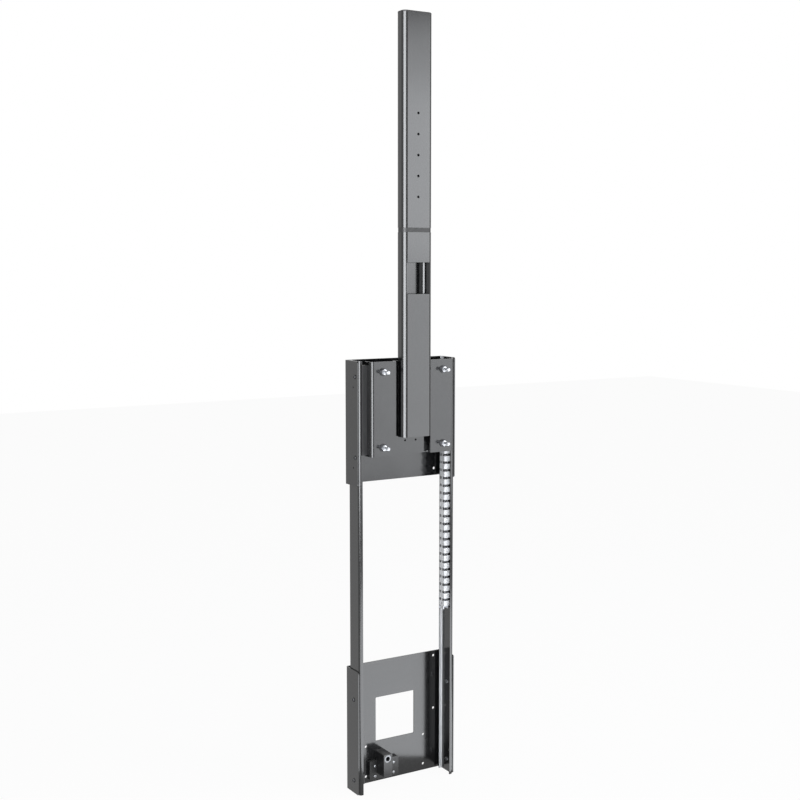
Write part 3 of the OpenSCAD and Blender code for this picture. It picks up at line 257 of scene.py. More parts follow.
def scuffGroup():
    # short fine rubs that run one way, gathered in patches
    tree = bpy.data.node_groups.new("rubMarks", "ShaderNodeTree")
    groupSocket(tree, "Place", "INPUT", "NodeSocketVector")
    groupSocket(tree, "Stretch", "INPUT", "NodeSocketVector", (900, 900, 40))
    groupSocket(tree, "Amount", "INPUT", "NodeSocketFloat", 0.2)
    groupSocket(tree, "Mask", "OUTPUT", "NodeSocketFloat")
    given = addNode(tree, "NodeGroupInput")
    made = addNode(tree, "NodeGroupOutput")
    spread = addNode(tree, "ShaderNodeVectorMath", operation="MULTIPLY")
    line = addNode(tree, "ShaderNodeTexNoise", {"Scale": 1.0, "Detail": 2.0, "Roughness": 0.5})
    gather = {"Scale": effectLook["patchScale"], "Detail": 2.0, "Roughness": 0.5}
    patch = addNode(tree, "ShaderNodeTexNoise", gather)
    sharp = addNode(tree, "ShaderNodeMapRange", {"From Min": 0.62, "From Max": 0.74})
    where = addNode(tree, "ShaderNodeMapRange", {"From Min": 0.5, "From Max": 0.68})
    both = addNode(tree, "ShaderNodeMath", operation="MULTIPLY")
    scaled = addNode(tree, "ShaderNodeMath", operation="MULTIPLY")
    wire(tree, given.outputs["Place"], spread.inputs[0])
    wire(tree, given.outputs["Stretch"], spread.inputs[1])
    wire(tree, spread.outputs[0], line.inputs["Vector"])
    wire(tree, given.outputs["Place"], patch.inputs["Vector"])
    wire(tree, line.outputs["Fac"], sharp.inputs["Value"])
    wire(tree, patch.outputs["Fac"], where.inputs["Value"])
    wire(tree, sharp.outputs["Result"], both.inputs[0])
    wire(tree, where.outputs["Result"], both.inputs[1])
    wire(tree, both.outputs[0], scaled.inputs[0])
    wire(tree, given.outputs["Amount"], scaled.inputs[1])
    wire(tree, scaled.outputs[0], made.inputs["Mask"])
    return tree


def dustGroup():
    # a thin film that settles on faces turned upwards
    tree = bpy.data.node_groups.new("settledDust", "ShaderNodeTree")
    groupSocket(tree, "Place", "INPUT", "NodeSocketVector")
    groupSocket(tree, "Amount", "INPUT", "NodeSocketFloat", 0.2)
    groupSocket(tree, "Mask", "OUTPUT", "NodeSocketFloat")
    given = addNode(tree, "NodeGroupInput")
    made = addNode(tree, "NodeGroupOutput")
    facing = addNode(tree, "ShaderNodeNewGeometry")
    split = addNode(tree, "ShaderNodeSeparateXYZ")
    upward = addNode(tree, "ShaderNodeMapRange", {"From Min": 0.2, "From Max": 1.0, "To Min": 0.08})
    specks = {"Scale": effectLook["speckScale"], "Detail": 5.0, "Roughness": 0.7}
    speck = addNode(tree, "ShaderNodeTexNoise", specks)
    lift = addNode(tree, "ShaderNodeMapRange", {"From Min": 0.4, "From Max": 0.75})
    both = addNode(tree, "ShaderNodeMath", operation="MULTIPLY")
    scaled = addNode(tree, "ShaderNodeMath", operation="MULTIPLY")
    wire(tree, facing.outputs["Normal"], split.inputs[0])
    wire(tree, split.outputs["Z"], upward.inputs["Value"])
    wire(tree, given.outputs["Place"], speck.inputs["Vector"])
    wire(tree, speck.outputs["Fac"], lift.inputs["Value"])
    wire(tree, upward.outputs["Result"], both.inputs[0])
    wire(tree, lift.outputs["Result"], both.inputs[1])
    wire(tree, both.outputs[0], scaled.inputs[0])
    wire(tree, given.outputs["Amount"], scaled.inputs[1])
    wire(tree, scaled.outputs[0], made.inputs["Mask"])
    return tree


def spangleGroup():
    # cloudy crystals of a zinc plating
    tree = bpy.data.node_groups.new("zincClouds", "ShaderNodeTree")
    groupSocket(tree, "Place", "INPUT", "NodeSocketVector")
    groupSocket(tree, "Crystal Scale", "INPUT", "NodeSocketFloat", 600)
    groupSocket(tree, "Tone", "OUTPUT", "NodeSocketFloat")
    given = addNode(tree, "NodeGroupInput")
    made = addNode(tree, "NodeGroupOutput")
    cell = addNode(tree, "ShaderNodeTexVoronoi", feature="F1")
    haze = addNode(tree, "ShaderNodeTexNoise", {"Scale": effectLook["cloudScale"], "Detail": 4.0})
    blend = addNode(tree, "ShaderNodeMix", {"Factor": effectLook["cloudShare"]}, data_type="FLOAT")
    wire(tree, given.outputs["Place"], cell.inputs["Vector"])
    wire(tree, given.outputs["Crystal Scale"], cell.inputs["Scale"])
    wire(tree, given.outputs["Place"], haze.inputs["Vector"])
    wire(tree, cell.outputs["Color"], blend.inputs["A"])
    wire(tree, haze.outputs["Fac"], blend.inputs["B"])
    wire(tree, blend.outputs["Result"], made.inputs["Tone"])
    return tree


effects = {"grain": grainGroup(), "scuff": scuffGroup(), "dust": dustGroup(), "spangle": spangleGroup()}
print("surface effects built")


# Finishes

dustColor = (0.42, 0.41, 0.39, 1)
# spread and least strength of the painted highlight strip along the rails
highlightStripLook = {"stretch": (900, 900, 12), "leastLit": 0.65}


def insideBox(tree, place, box):
    # 1 where the distance from the middle plane and the depth both lie within the given ranges
    parts = addNode(tree, "ShaderNodeSeparateXYZ")
    wire(tree, place, parts.inputs[0])
    side = addNode(tree, "ShaderNodeMath", operation="ABSOLUTE")
    wire(tree, parts.outputs["X"], side.inputs[0])
    mask = None
    for source, (low, high) in ((side.outputs[0], box[0]), (parts.outputs["Y"], box[1])):
        span = {1: (low + high) / 2, 2: (high - low) / 2}
        near = addNode(tree, "ShaderNodeMath", span, operation="COMPARE")
        wire(tree, source, near.inputs[0])
        if mask is None:
            mask = near.outputs[0]
        else:
            both = addNode(tree, "ShaderNodeMath", operation="MULTIPLY")
            wire(tree, mask, both.inputs[0])
            wire(tree, near.outputs[0], both.inputs[1])
            mask = both.outputs[0]
    return mask


def paintedHighlightStrip(tree, place, box, under, color):
    # painted highlight: a light streak painted along a line where a bend catches light, stronger in some
    # places than in others
    streak = addNode(tree, "ShaderNodeTexNoise", {"Scale": 1.0, "Detail": 3.0})
    long = addNode(tree, "ShaderNodeVectorMath", {1: highlightStripLook["stretch"]}, operation="MULTIPLY")
    wire(tree, place, long.inputs[0])
    wire(tree, long.outputs[0], streak.inputs["Vector"])
    brightRange = {"From Min": 0.3, "From Max": 0.6, "To Min": highlightStripLook["leastLit"]}
    share = addNode(tree, "ShaderNodeMapRange", brightRange)
    wire(tree, streak.outputs["Fac"], share.inputs["Value"])
    both = addNode(tree, "ShaderNodeMath", operation="MULTIPLY")
    wire(tree, insideBox(tree, place, box), both.inputs[0])
    wire(tree, share.outputs["Result"], both.inputs[1])
    blend = addNode(tree, "ShaderNodeMix", {"B": color}, data_type="RGBA")
    wire(tree, both.outputs[0], blend.inputs[0])
    wire(tree, under, blend.inputs[6])
    return blend.outputs[2]


def paintedNotchShade(tree, place, notchShade, under):
    # painted shade: the waist of each link darkened on both sides of its middle, where shade falls in the
    # gap between links, once in every pitch
    parts = addNode(tree, "ShaderNodeSeparateXYZ")
    wire(tree, place, parts.inputs[0])
    half = notchShade["pitch"] / 2
    near, far = notchShade["band"]
    lift = addNode(tree, "ShaderNodeMath", {1: notchShade["first"] - half}, operation="SUBTRACT")
    turn = addNode(tree, "ShaderNodeMath", {1: notchShade["pitch"]}, operation="FLOORED_MODULO")
    level = addNode(tree, "ShaderNodeMath", {1: half, 2: notchShade["high"] / 2}, operation="COMPARE")
    shift = addNode(tree, "ShaderNodeMath", {1: notchShade["middle"]}, operation="SUBTRACT")
    off = addNode(tree, "ShaderNodeMath", operation="ABSOLUTE")
    deep = addNode(tree, "ShaderNodeMath", {1: (near + far) / 2, 2: (far - near) / 2}, operation="COMPARE")
    both = addNode(tree, "ShaderNodeMath", operation="MULTIPLY")
    wire(tree, parts.outputs["Z"], lift.inputs[0])
    wire(tree, lift.outputs[0], turn.inputs[0])
    wire(tree, turn.outputs[0], level.inputs[0])
    wire(tree, parts.outputs["Y"], shift.inputs[0])
    wire(tree, shift.outputs[0], off.inputs[0])
    wire(tree, off.outputs[0], deep.inputs[0])
    wire(tree, level.outputs[0], both.inputs[0])
    wire(tree, deep.outputs[0], both.inputs[1])
    blend = addNode(tree, "ShaderNodeMix", {"B": notchShade["color"]}, data_type="RGBA")
    wire(tree, both.outputs[0], blend.inputs[0])
    wire(tree, under, blend.inputs[6])
    return blend.outputs[2]


def buildFinish(name, look):
    material = bpy.data.materials.new(name)
    material.use_nodes = True
    tree = material.node_tree
    tree.nodes.clear()
    out = addNode(tree, "ShaderNodeOutputMaterial")
    shader = addNode(tree, "ShaderNodeBsdfPrincipled", {
        "Metallic": look.get("metallic", 0.0),
        "Specular IOR Level": look.get("specular", 0.5),
        "Coat Weight": look.get("coat", 0.0),
        "Coat Roughness": look.get("coatRoughness", 0.1),
    })
    place = addNode(tree, "ShaderNodeTexCoord").outputs["Object"]
    grain = placeGroup(tree, effects["grain"], {"Grain Scale": look.get("grainScale", 1400),
                                                "Mottle Scale": look.get("mottleScale", 14)})
    scuff = placeGroup(tree, effects["scuff"], {"Stretch": look.get("rubStretch", (700, 700, 30)),
                                                "Amount": look.get("rubs", 0.3)})
    dust = placeGroup(tree, effects["dust"], {"Amount": look.get("dust", 0.25)})
    for group in (grain, scuff, dust):
        wire(tree, place, group.inputs["Place"])
    tone = grain.outputs["Mottle"]
    if look.get("crystals"):
        spangle = placeGroup(tree, effects["spangle"], {"Crystal Scale": look["crystals"]})
        wire(tree, place, spangle.inputs["Place"])
        tone = spangle.outputs["Tone"]
    body = addNode(tree, "ShaderNodeMix", {"A": look["color"], "B": look["colorDeep"]}, data_type="RGBA")
    rubbed = addNode(tree, "ShaderNodeMix", {"B": look["rubColor"]}, data_type="RGBA")
    dusty = addNode(tree, "ShaderNodeMix", {"B": dustColor}, data_type="RGBA")
    for mix, factor in ((body, tone), (rubbed, scuff.outputs["Mask"]), (dusty, dust.outputs["Mask"])):
        wire(tree, factor, mix.inputs[0])
    wire(tree, body.outputs[2], rubbed.inputs[6])
    coat = rubbed.outputs[2]
    if look.get("highlightBox"):
        coat = paintedHighlightStrip(tree, place, look["highlightBox"], coat, look["highlightColor"])
    if look.get("notchShade"):
        coat = paintedNotchShade(tree, place, look["notchShade"], coat)
    wire(tree, coat, dusty.inputs[6])
    wire(tree, dusty.outputs[2], shader.inputs["Base Color"])
    gloss = addNode(tree, "ShaderNodeMapRange", {"To Min": look["roughness"] - look["roughnessSpread"],
                                                 "To Max": look["roughness"] + look["roughnessSpread"]})
    rougher = addNode(tree, "ShaderNodeMath", {1: 0.5}, operation="MULTIPLY_ADD", use_clamp=True)
    wire(tree, tone, gloss.inputs["Value"])
    wire(tree, dust.outputs["Mask"], rougher.inputs[0])
    wire(tree, gloss.outputs["Result"], rougher.inputs[2])
    wire(tree, rougher.outputs[0], shader.inputs["Roughness"])
    bump = addNode(tree, "ShaderNodeBump", {"Strength": look.get("bump", 0.25),
                                            "Distance": look.get("bumpDepth", 0.0001)})
    wire(tree, grain.outputs["Height"], bump.inputs["Height"])
    wire(tree, bump.outputs["Normal"], shader.inputs["Normal"])
    wire(tree, shader.outputs[0], out.inputs["Surface"])
    return material


# height of the chain's lowest corner, from which its pitch is counted
lowestLink = min((nodes["chain_sides_left"].matrix_world @ corner.co).z
                 for corner in nodes["chain_sides_left"].data.vertices)
finishLooks = {
    # metres in the painted highlight strip and the painted notch shade; a strip's box is its distances from
    # the middle plane, then its depths
    "powderCoat": {"color": (0.0060, 0.0062, 0.0070, 1), "colorDeep": (0.0042, 0.0044, 0.0050, 1),
                   "rubColor": (0.04, 0.04, 0.045, 1), "roughness": 0.16, "roughnessSpread": 0.02,
                   "grainScale": 1500, "mottleScale": 9, "bump": 0.12, "bumpDepth": 0.00003,
                   "rubs": 0.22, "dust": 0.22, "specular": 0.5},
    "columnCoat": {"color": (0.0050, 0.0052, 0.0060, 1), "colorDeep": (0.0036, 0.0038, 0.0044, 1),
                   "rubColor": (0.04, 0.04, 0.045, 1), "roughness": 0.14, "roughnessSpread": 0.015,
                   "grainScale": 1700, "mottleScale": 7, "bump": 0.08, "bumpDepth": 0.00002,
                   "rubs": 0.18, "dust": 0.2, "specular": 0.6},
    "railCoat": {"color": (0.0056, 0.0058, 0.0066, 1), "colorDeep": (0.0040, 0.0042, 0.0048, 1),
                 "rubColor": (0.06, 0.06, 0.065, 1), "roughness": 0.16, "roughnessSpread": 0.02,
                 "grainScale": 1500, "mottleScale": 10, "bump": 0.1, "bumpDepth": 0.00003,
                 "rubs": 0.35, "dust": 0.2, "specular": 0.55,
                 # painted highlight: a light strip on the back lip of each rail, where its bend catches
                 # light
                 "highlightBox": ((0.1285, 0.1376), (-0.0178, -0.0148)), "highlightColor": (0.72, 0.73, 0.75, 1)},
    "blackOxide": {"color": (0.030, 0.030, 0.033, 1), "colorDeep": (0.018, 0.018, 0.020, 1),
                   "rubColor": (0.22, 0.21, 0.20, 1), "roughness": 0.38, "roughnessSpread": 0.08,
                   "grainScale": 2600, "mottleScale": 120, "metallic": 0.35, "rubs": 0.5, "dust": 0.15},
    "brightZinc": {"color": (0.42, 0.425, 0.44, 1), "colorDeep": (0.30, 0.31, 0.325, 1),
                   "rubColor": (0.45, 0.45, 0.46, 1), "roughness": 0.27, "roughnessSpread": 0.07,
                   "grainScale": 3000, "crystals": 700, "metallic": 1.0, "rubs": 0.35, "dust": 0.12,
                   "bump": 0.12, "bumpDepth": 0.00004},
    "blackZinc": {"color": (0.055, 0.056, 0.060, 1), "colorDeep": (0.035, 0.036, 0.040, 1),
                  "rubColor": (0.16, 0.16, 0.17, 1), "roughness": 0.33, "roughnessSpread": 0.06,
                  "grainScale": 3000, "crystals": 700, "metallic": 0.8, "rubs": 0.35, "dust": 0.12,
                  "bump": 0.1, "bumpDepth": 0.00004},
    "greasedScrew": {"color": (0.50, 0.50, 0.51, 1), "colorDeep": (0.30, 0.29, 0.27, 1),
                     "rubColor": (0.70, 0.70, 0.71, 1), "roughness": 0.24, "roughnessSpread": 0.08,
                     "grainScale": 2500, "mottleScale": 60, "metallic": 1.0, "rubs": 0.5,
                     "rubStretch": (60, 60, 1600), "dust": 0.1, "coat": 0.35, "coatRoughness": 0.12},
    "stopRubber": {"color": (0.022, 0.022, 0.022, 1), "colorDeep": (0.034, 0.033, 0.032, 1),
                   "rubColor": (0.07, 0.07, 0.07, 1), "roughness": 0.78, "roughnessSpread": 0.06,
                   "grainScale": 900, "mottleScale": 60, "bump": 0.35, "bumpDepth": 0.0001,
                   "rubs": 0.2, "dust": 0.5, "specular": 0.35},
    "grainedMoulding": {"color": (0.0075, 0.0075, 0.0084, 1), "colorDeep": (0.0050, 0.0050, 0.0058, 1),
                        "rubColor": (0.13, 0.13, 0.14, 1), "roughness": 0.42, "roughnessSpread": 0.06,
                        "grainScale": 1100, "mottleScale": 30, "bump": 0.4, "bumpDepth": 0.0001,
                        "rubs": 0.25, "dust": 0.25, "specular": 0.5},
    "motorPaint": {"color": (0.035, 0.036, 0.040, 1), "colorDeep": (0.026, 0.027, 0.030, 1),
                   "rubColor": (0.2, 0.2, 0.2, 1), "roughness": 0.30, "roughnessSpread": 0.04,
                   "grainScale": 1900, "mottleScale": 26, "bump": 0.12, "bumpDepth": 0.00005,
                   "rubs": 0.3, "rubStretch": (60, 60, 1200), "dust": 0.2},
    "capSteel": {"color": (0.16, 0.16, 0.17, 1), "colorDeep": (0.11, 0.11, 0.12, 1),
                 "rubColor": (0.4, 0.4, 0.4, 1), "roughness": 0.34, "roughnessSpread": 0.06,
                 "grainScale": 2200, "mottleScale": 70, "metallic": 0.8, "rubs": 0.4, "dust": 0.15},
    "turnedSleeve": {"color": (0.14, 0.143, 0.148, 1), "colorDeep": (0.10, 0.102, 0.106, 1),
                     "rubColor": (0.3, 0.3, 0.3, 1), "roughness": 0.36, "roughnessSpread": 0.06,
                     "grainScale": 2600, "mottleScale": 200, "metallic": 1.0, "rubs": 0.4, "dust": 0.1},
    "gearPlastic": {"color": (0.045, 0.046, 0.050, 1), "colorDeep": (0.032, 0.033, 0.036, 1),
                    "rubColor": (0.2, 0.2, 0.2, 1), "roughness": 0.38, "roughnessSpread": 0.05,
                    "grainScale": 1500, "mottleScale": 60, "bump": 0.15, "rubs": 0.2, "dust": 0.1},
    "chainNylon": {"color": (0.78, 0.79, 0.81, 1), "colorDeep": (0.69, 0.70, 0.72, 1),
                   "rubColor": (0.52, 0.53, 0.56, 1), "roughness": 0.40, "roughnessSpread": 0.05,
                   "grainScale": 1300, "mottleScale": 45, "bump": 0.2, "bumpDepth": 0.00008,
                   "rubs": 0.35, "rubStretch": (500, 500, 60), "dust": 0.3, "specular": 0.5,
                   # painted shade: dark bands at each link's waist, where shade falls between the links
                   "notchShade": {"pitch": 0.020, "first": lowestLink + 0.0196, "high": 0.0066, "middle": -0.047,
                             "band": (0.0028, 0.0108), "color": (0.03, 0.03, 0.033, 1)}},
}
finishes = {name: buildFinish(name, look) for name, look in finishLooks.items()}

finishOfNode = {
    "powderCoat": ["top_bracket", "foot_bracket", "carriage_plate", "drive_bracket", "nut_bracket"],
    "railCoat": ["rail_left", "rail_right"],
    "columnCoat": ["lower_tube", "upper_tube"],
    "blackOxide": ["bracket_screws", "stud_washers"],
    "brightZinc": ["bracket_screw_nuts", "clamp_screws", "chain_anchor", "chain_anchor_screws",
                   "foot_bearing", "foot_block_screws", "drive_bracket_screws", "gearbox_screws",
                   "motor_pinion", "carriage_studs", "stud_nuts", "drive_nut_screws", "chain_bracket",
                   "chain_bracket_screws", "tube_splice", "splice_screws", "tube_nut_strip",
                   "tube_screws", "chain_ends"],
    # painted shade: tv_nut_strip takes the dark plating so that the holes in front of it look shaded
    "blackZinc": ["guide_screws", "nut_bracket_screws", "tv_nut_strip"],
    "greasedScrew": ["spindle"],
    "stopRubber": ["top_stops", "foot_stops"],
    "grainedMoulding": ["clamp_body", "guide_left", "guide_right", "foot_block", "gearbox_body",
                        "gearbox_cover", "joint_ring", "tube_cap"],
    "motorPaint": ["motor_body"],
    "capSteel": ["motor_cap"],
    "turnedSleeve": ["clamp_gland"],
    "gearPlastic": ["spindle_gear", "drive_nut"],
    "chainNylon": ["chain_sides_left", "chain_sides_right", "chain_bars_front", "chain_bars_back"],
}
finishName = {}
for name, members in finishOfNode.items():
    for member in members:
        finishName[member] = name
        for place in nodes[member].material_slots:
            place.link = "DATA"
            place.material = finishes[name]
missing = sorted(set(nodes) - set(finishName))
print("finishes on", len(finishName), "nodes, without one:", missing)


# Reading the solids of a node

def mergedCopy(node):
    shape = bmesh.new()
    shape.from_mesh(nodes[node].data)
    bmesh.ops.remove_doubles(shape, verts=shape.verts, dist=1e-6)
    return shape


def solidBoxes(node):
    # lowest and highest corner of every separate solid, from low to high
    shape = mergedCopy(node)
    left = set(shape.verts)
    boxes = []
    while left:
        start = left.pop()
        group, waiting = [start], [start]
        while waiting:
            for edge in waiting.pop().link_edges:
                for vert in edge.verts:
                    if vert in left:
                        left.discard(vert)
                        group.append(vert)
                        waiting.append(vert)
        low = Vector([min(v.co[i] for v in group) for i in range(3)])
        high = Vector([max(v.co[i] for v in group) for i in range(3)])
        boxes.append((low, high))
    shape.free()
    return sorted(boxes, key=lambda b: (round(b[0].z, 4), round(b[0].x, 4), round(b[0].y, 4)))


def bodyOf(node):
    return next(name for name, members in frame["record"]["behaviour"]["bodies"].items() if node in members)


def addPiece(name, mesh, node):
    # a detailed piece in place of a node, on the node's body
    piece = bpy.data.objects.new(name, mesh)
    scene.collection.objects.link(piece)
    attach(piece, bodyOf(node))
    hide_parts(node)


# Shapes that repeat: fasteners and threads

# how many sides a turned shape gets, and the angle from which an edge stays sharp
latheSides = {"screw": 48, "hexagon": 96, "tip": 28, "journal": 32}
sharpFrom = 34
# shares of the shank's radius at its end, then of the head's radius and height from the rim to the recess
shankEnd = ((0.82, 0), (1, 0.18))
headProfile = ((1, 0), (1, 0.3), (0.965, 0.52), (0.87, 0.78), (0.72, 0.95), (0.62, 1))
hexRecess = ((0.37, 1), (0.35, 0.93), (0.35, 0.35))
crossRecess = ((0.52, 0.13, 1), (0.3, 0.09, 0.42))
# the cone that takes the corners off a hexagon: slope, where it starts and where the flat face ends
hexChamfer = {"slope": 0.5, "from": 0.97, "flat": 0.95}


def circleAt(radius, height):
    return lambda angle: (radius, height)


def hexAt(apothem, height):
    return lambda angle: (apothem / math.cos(angle % (math.pi / 3) - math.pi / 6), height)


def crossAt(arm, half, height):
    def outline(angle):
        across, up = max(abs(math.cos(angle)), 1e-6), max(abs(math.sin(angle)), 1e-6)
        return max(min(arm / across, half / up), min(half / across, arm / up)), height
    return outline


def chamferedHex(apothem, edge):
    # the corners of a nut fall away under a cone
    def outline(angle):
        radius = apothem / math.cos(angle % (math.pi / 3) - math.pi / 6)
        return radius, edge - hexChamfer["slope"] * (radius - hexChamfer["from"] * apothem)
    return outline


def latheMesh(name, rings, segments, closed=False):
    shape = bmesh.new()
    loops = []
    for outline in rings:
        loop = []
        for step in range(segments):
            angle = 2 * math.pi * step / segments
            radius, height = outline(angle)
            loop.append(shape.verts.new((radius * math.cos(angle), radius * math.sin(angle), height)))
        loops.append(loop)
    pairs = list(zip(loops, loops[1:])) + ([(loops[-1], loops[0])] if closed else [])
    for low, high in pairs:
        for step in range(segments):
            following = (step + 1) % segments
            shape.faces.new((low[step], low[following], high[following], high[step]))
    if not closed:
        shape.faces.new(loops[0])
        shape.faces.new(loops[-1])
    bmesh.ops.recalc_face_normals(shape, faces=shape.faces)
    mesh = bpy.data.meshes.new(name)
    shape.to_mesh(mesh)
    shape.free()
    mesh.shade_smooth()
    mesh.set_sharp_from_angle(angle=math.radians(sharpFrom))
    return mesh


def screwMesh(name, size):
    # head towards +Z with its underside at the origin
    head, tall, shank, length = (size[key] / 1000 for key in ("head", "tall", "shank", "length"))
    rings = [circleAt(wide * shank, -length + up * shank) for wide, up in shankEnd]
    rings.append(circleAt(shank, 0))
    rings += [circleAt(wide * head, up * tall) for wide, up in headProfile]
    if size["drive"] == "hex":
        rings += [hexAt(wide * head, up * tall) for wide, up in hexRecess]
    else:
        rings += [crossAt(arm * head, half * head, up * tall) for arm, half, up in crossRecess]
    return latheMesh(name, rings, latheSides["screw"])


def nutMesh(name, size):
    # closed ring round the axis, from the origin up, chamfered alike at both ends
    apothem, tall, bore, lead = (size[key] / 1000 for key in ("apothem", "tall", "bore", "lead"))
    flat = hexChamfer["flat"] * apothem
    upper = chamferedHex(apothem, tall)

    def lower(angle):
        radius, height = upper(angle)
        return radius, tall - height

    rings = [circleAt(bore, lead), circleAt(bore + lead, 0), circleAt(flat, 0), lower, upper,
             circleAt(flat, tall), circleAt(bore + lead, tall), circleAt(bore, tall - lead)]
    return latheMesh(name, rings, latheSides["hexagon"], closed=True)


def newTree(name, sockets):
    tree = bpy.data.node_groups.new(name, "GeometryNodeTree")
    groupSocket(tree, "Geometry", "INPUT", "NodeSocketGeometry")
    for title, kind in sockets:
        groupSocket(tree, title, "INPUT", "NodeSocket" + kind)
    groupSocket(tree, "Geometry", "OUTPUT", "NodeSocketGeometry")
    return tree, addNode(tree, "NodeGroupInput"), addNode(tree, "NodeGroupOutput")


def fastenerTree():
    # a template on every point, turned to the point's aim and rolled at random
    tree, given, made = newTree("setFasteners", [
        ("Template", "Object"), ("Finish", "Material"), ("Roll Seed", "Int")])
    points = addNode(tree, "GeometryNodeMeshToPoints")
    source = addNode(tree, "GeometryNodeObjectInfo")
    aim = addNode(tree, "GeometryNodeInputNamedAttribute", {"Name": "aim"}, data_type="FLOAT_VECTOR")
    turn = addNode(tree, "FunctionNodeAlignRotationToVector", axis="Z")
    place = addNode(tree, "GeometryNodeInstanceOnPoints")
    halfTurn = {0: (0, 0, -math.pi), 1: (0, 0, math.pi)}
    chance = addNode(tree, "FunctionNodeRandomValue", halfTurn, data_type="FLOAT_VECTOR")
    roll = addNode(tree, "GeometryNodeRotateInstances", {"Local Space": True})
    solid = addNode(tree, "GeometryNodeRealizeInstances")
    paint = addNode(tree, "GeometryNodeSetMaterial")
    wire(tree, given.outputs["Geometry"], points.inputs["Mesh"])
    wire(tree, given.outputs["Template"], source.inputs["Object"])
    wire(tree, points.outputs[0], place.inputs["Points"])
    wire(tree, source.outputs["Geometry"], place.inputs["Instance"])
    wire(tree, aim.outputs["Attribute"], turn.inputs["Vector"])
    wire(tree, turn.outputs["Rotation"], place.inputs["Rotation"])
    wire(tree, given.outputs["Roll Seed"], chance.inputs["Seed"])
    wire(tree, place.outputs["Instances"], roll.inputs["Instances"])
    wire(tree, chance.outputs[0], roll.inputs["Rotation"])
    wire(tree, roll.outputs["Instances"], solid.inputs["Geometry"])
    wire(tree, solid.outputs["Geometry"], paint.inputs["Geometry"])
    wire(tree, given.outputs["Finish"], paint.inputs["Material"])
    wire(tree, paint.outputs["Geometry"], made.inputs["Geometry"])
    return tree


def calc(tree, operation, first, second=None, third=None):
    node = addNode(tree, "ShaderNodeMath", operation=operation)
    for slot, value in enumerate((first, second, third)):
        if isinstance(value, (int, float)):
            node.inputs[slot].default_value = value
        elif value is not None:
            wire(tree, value, node.inputs[slot])
    return node.outputs[0]


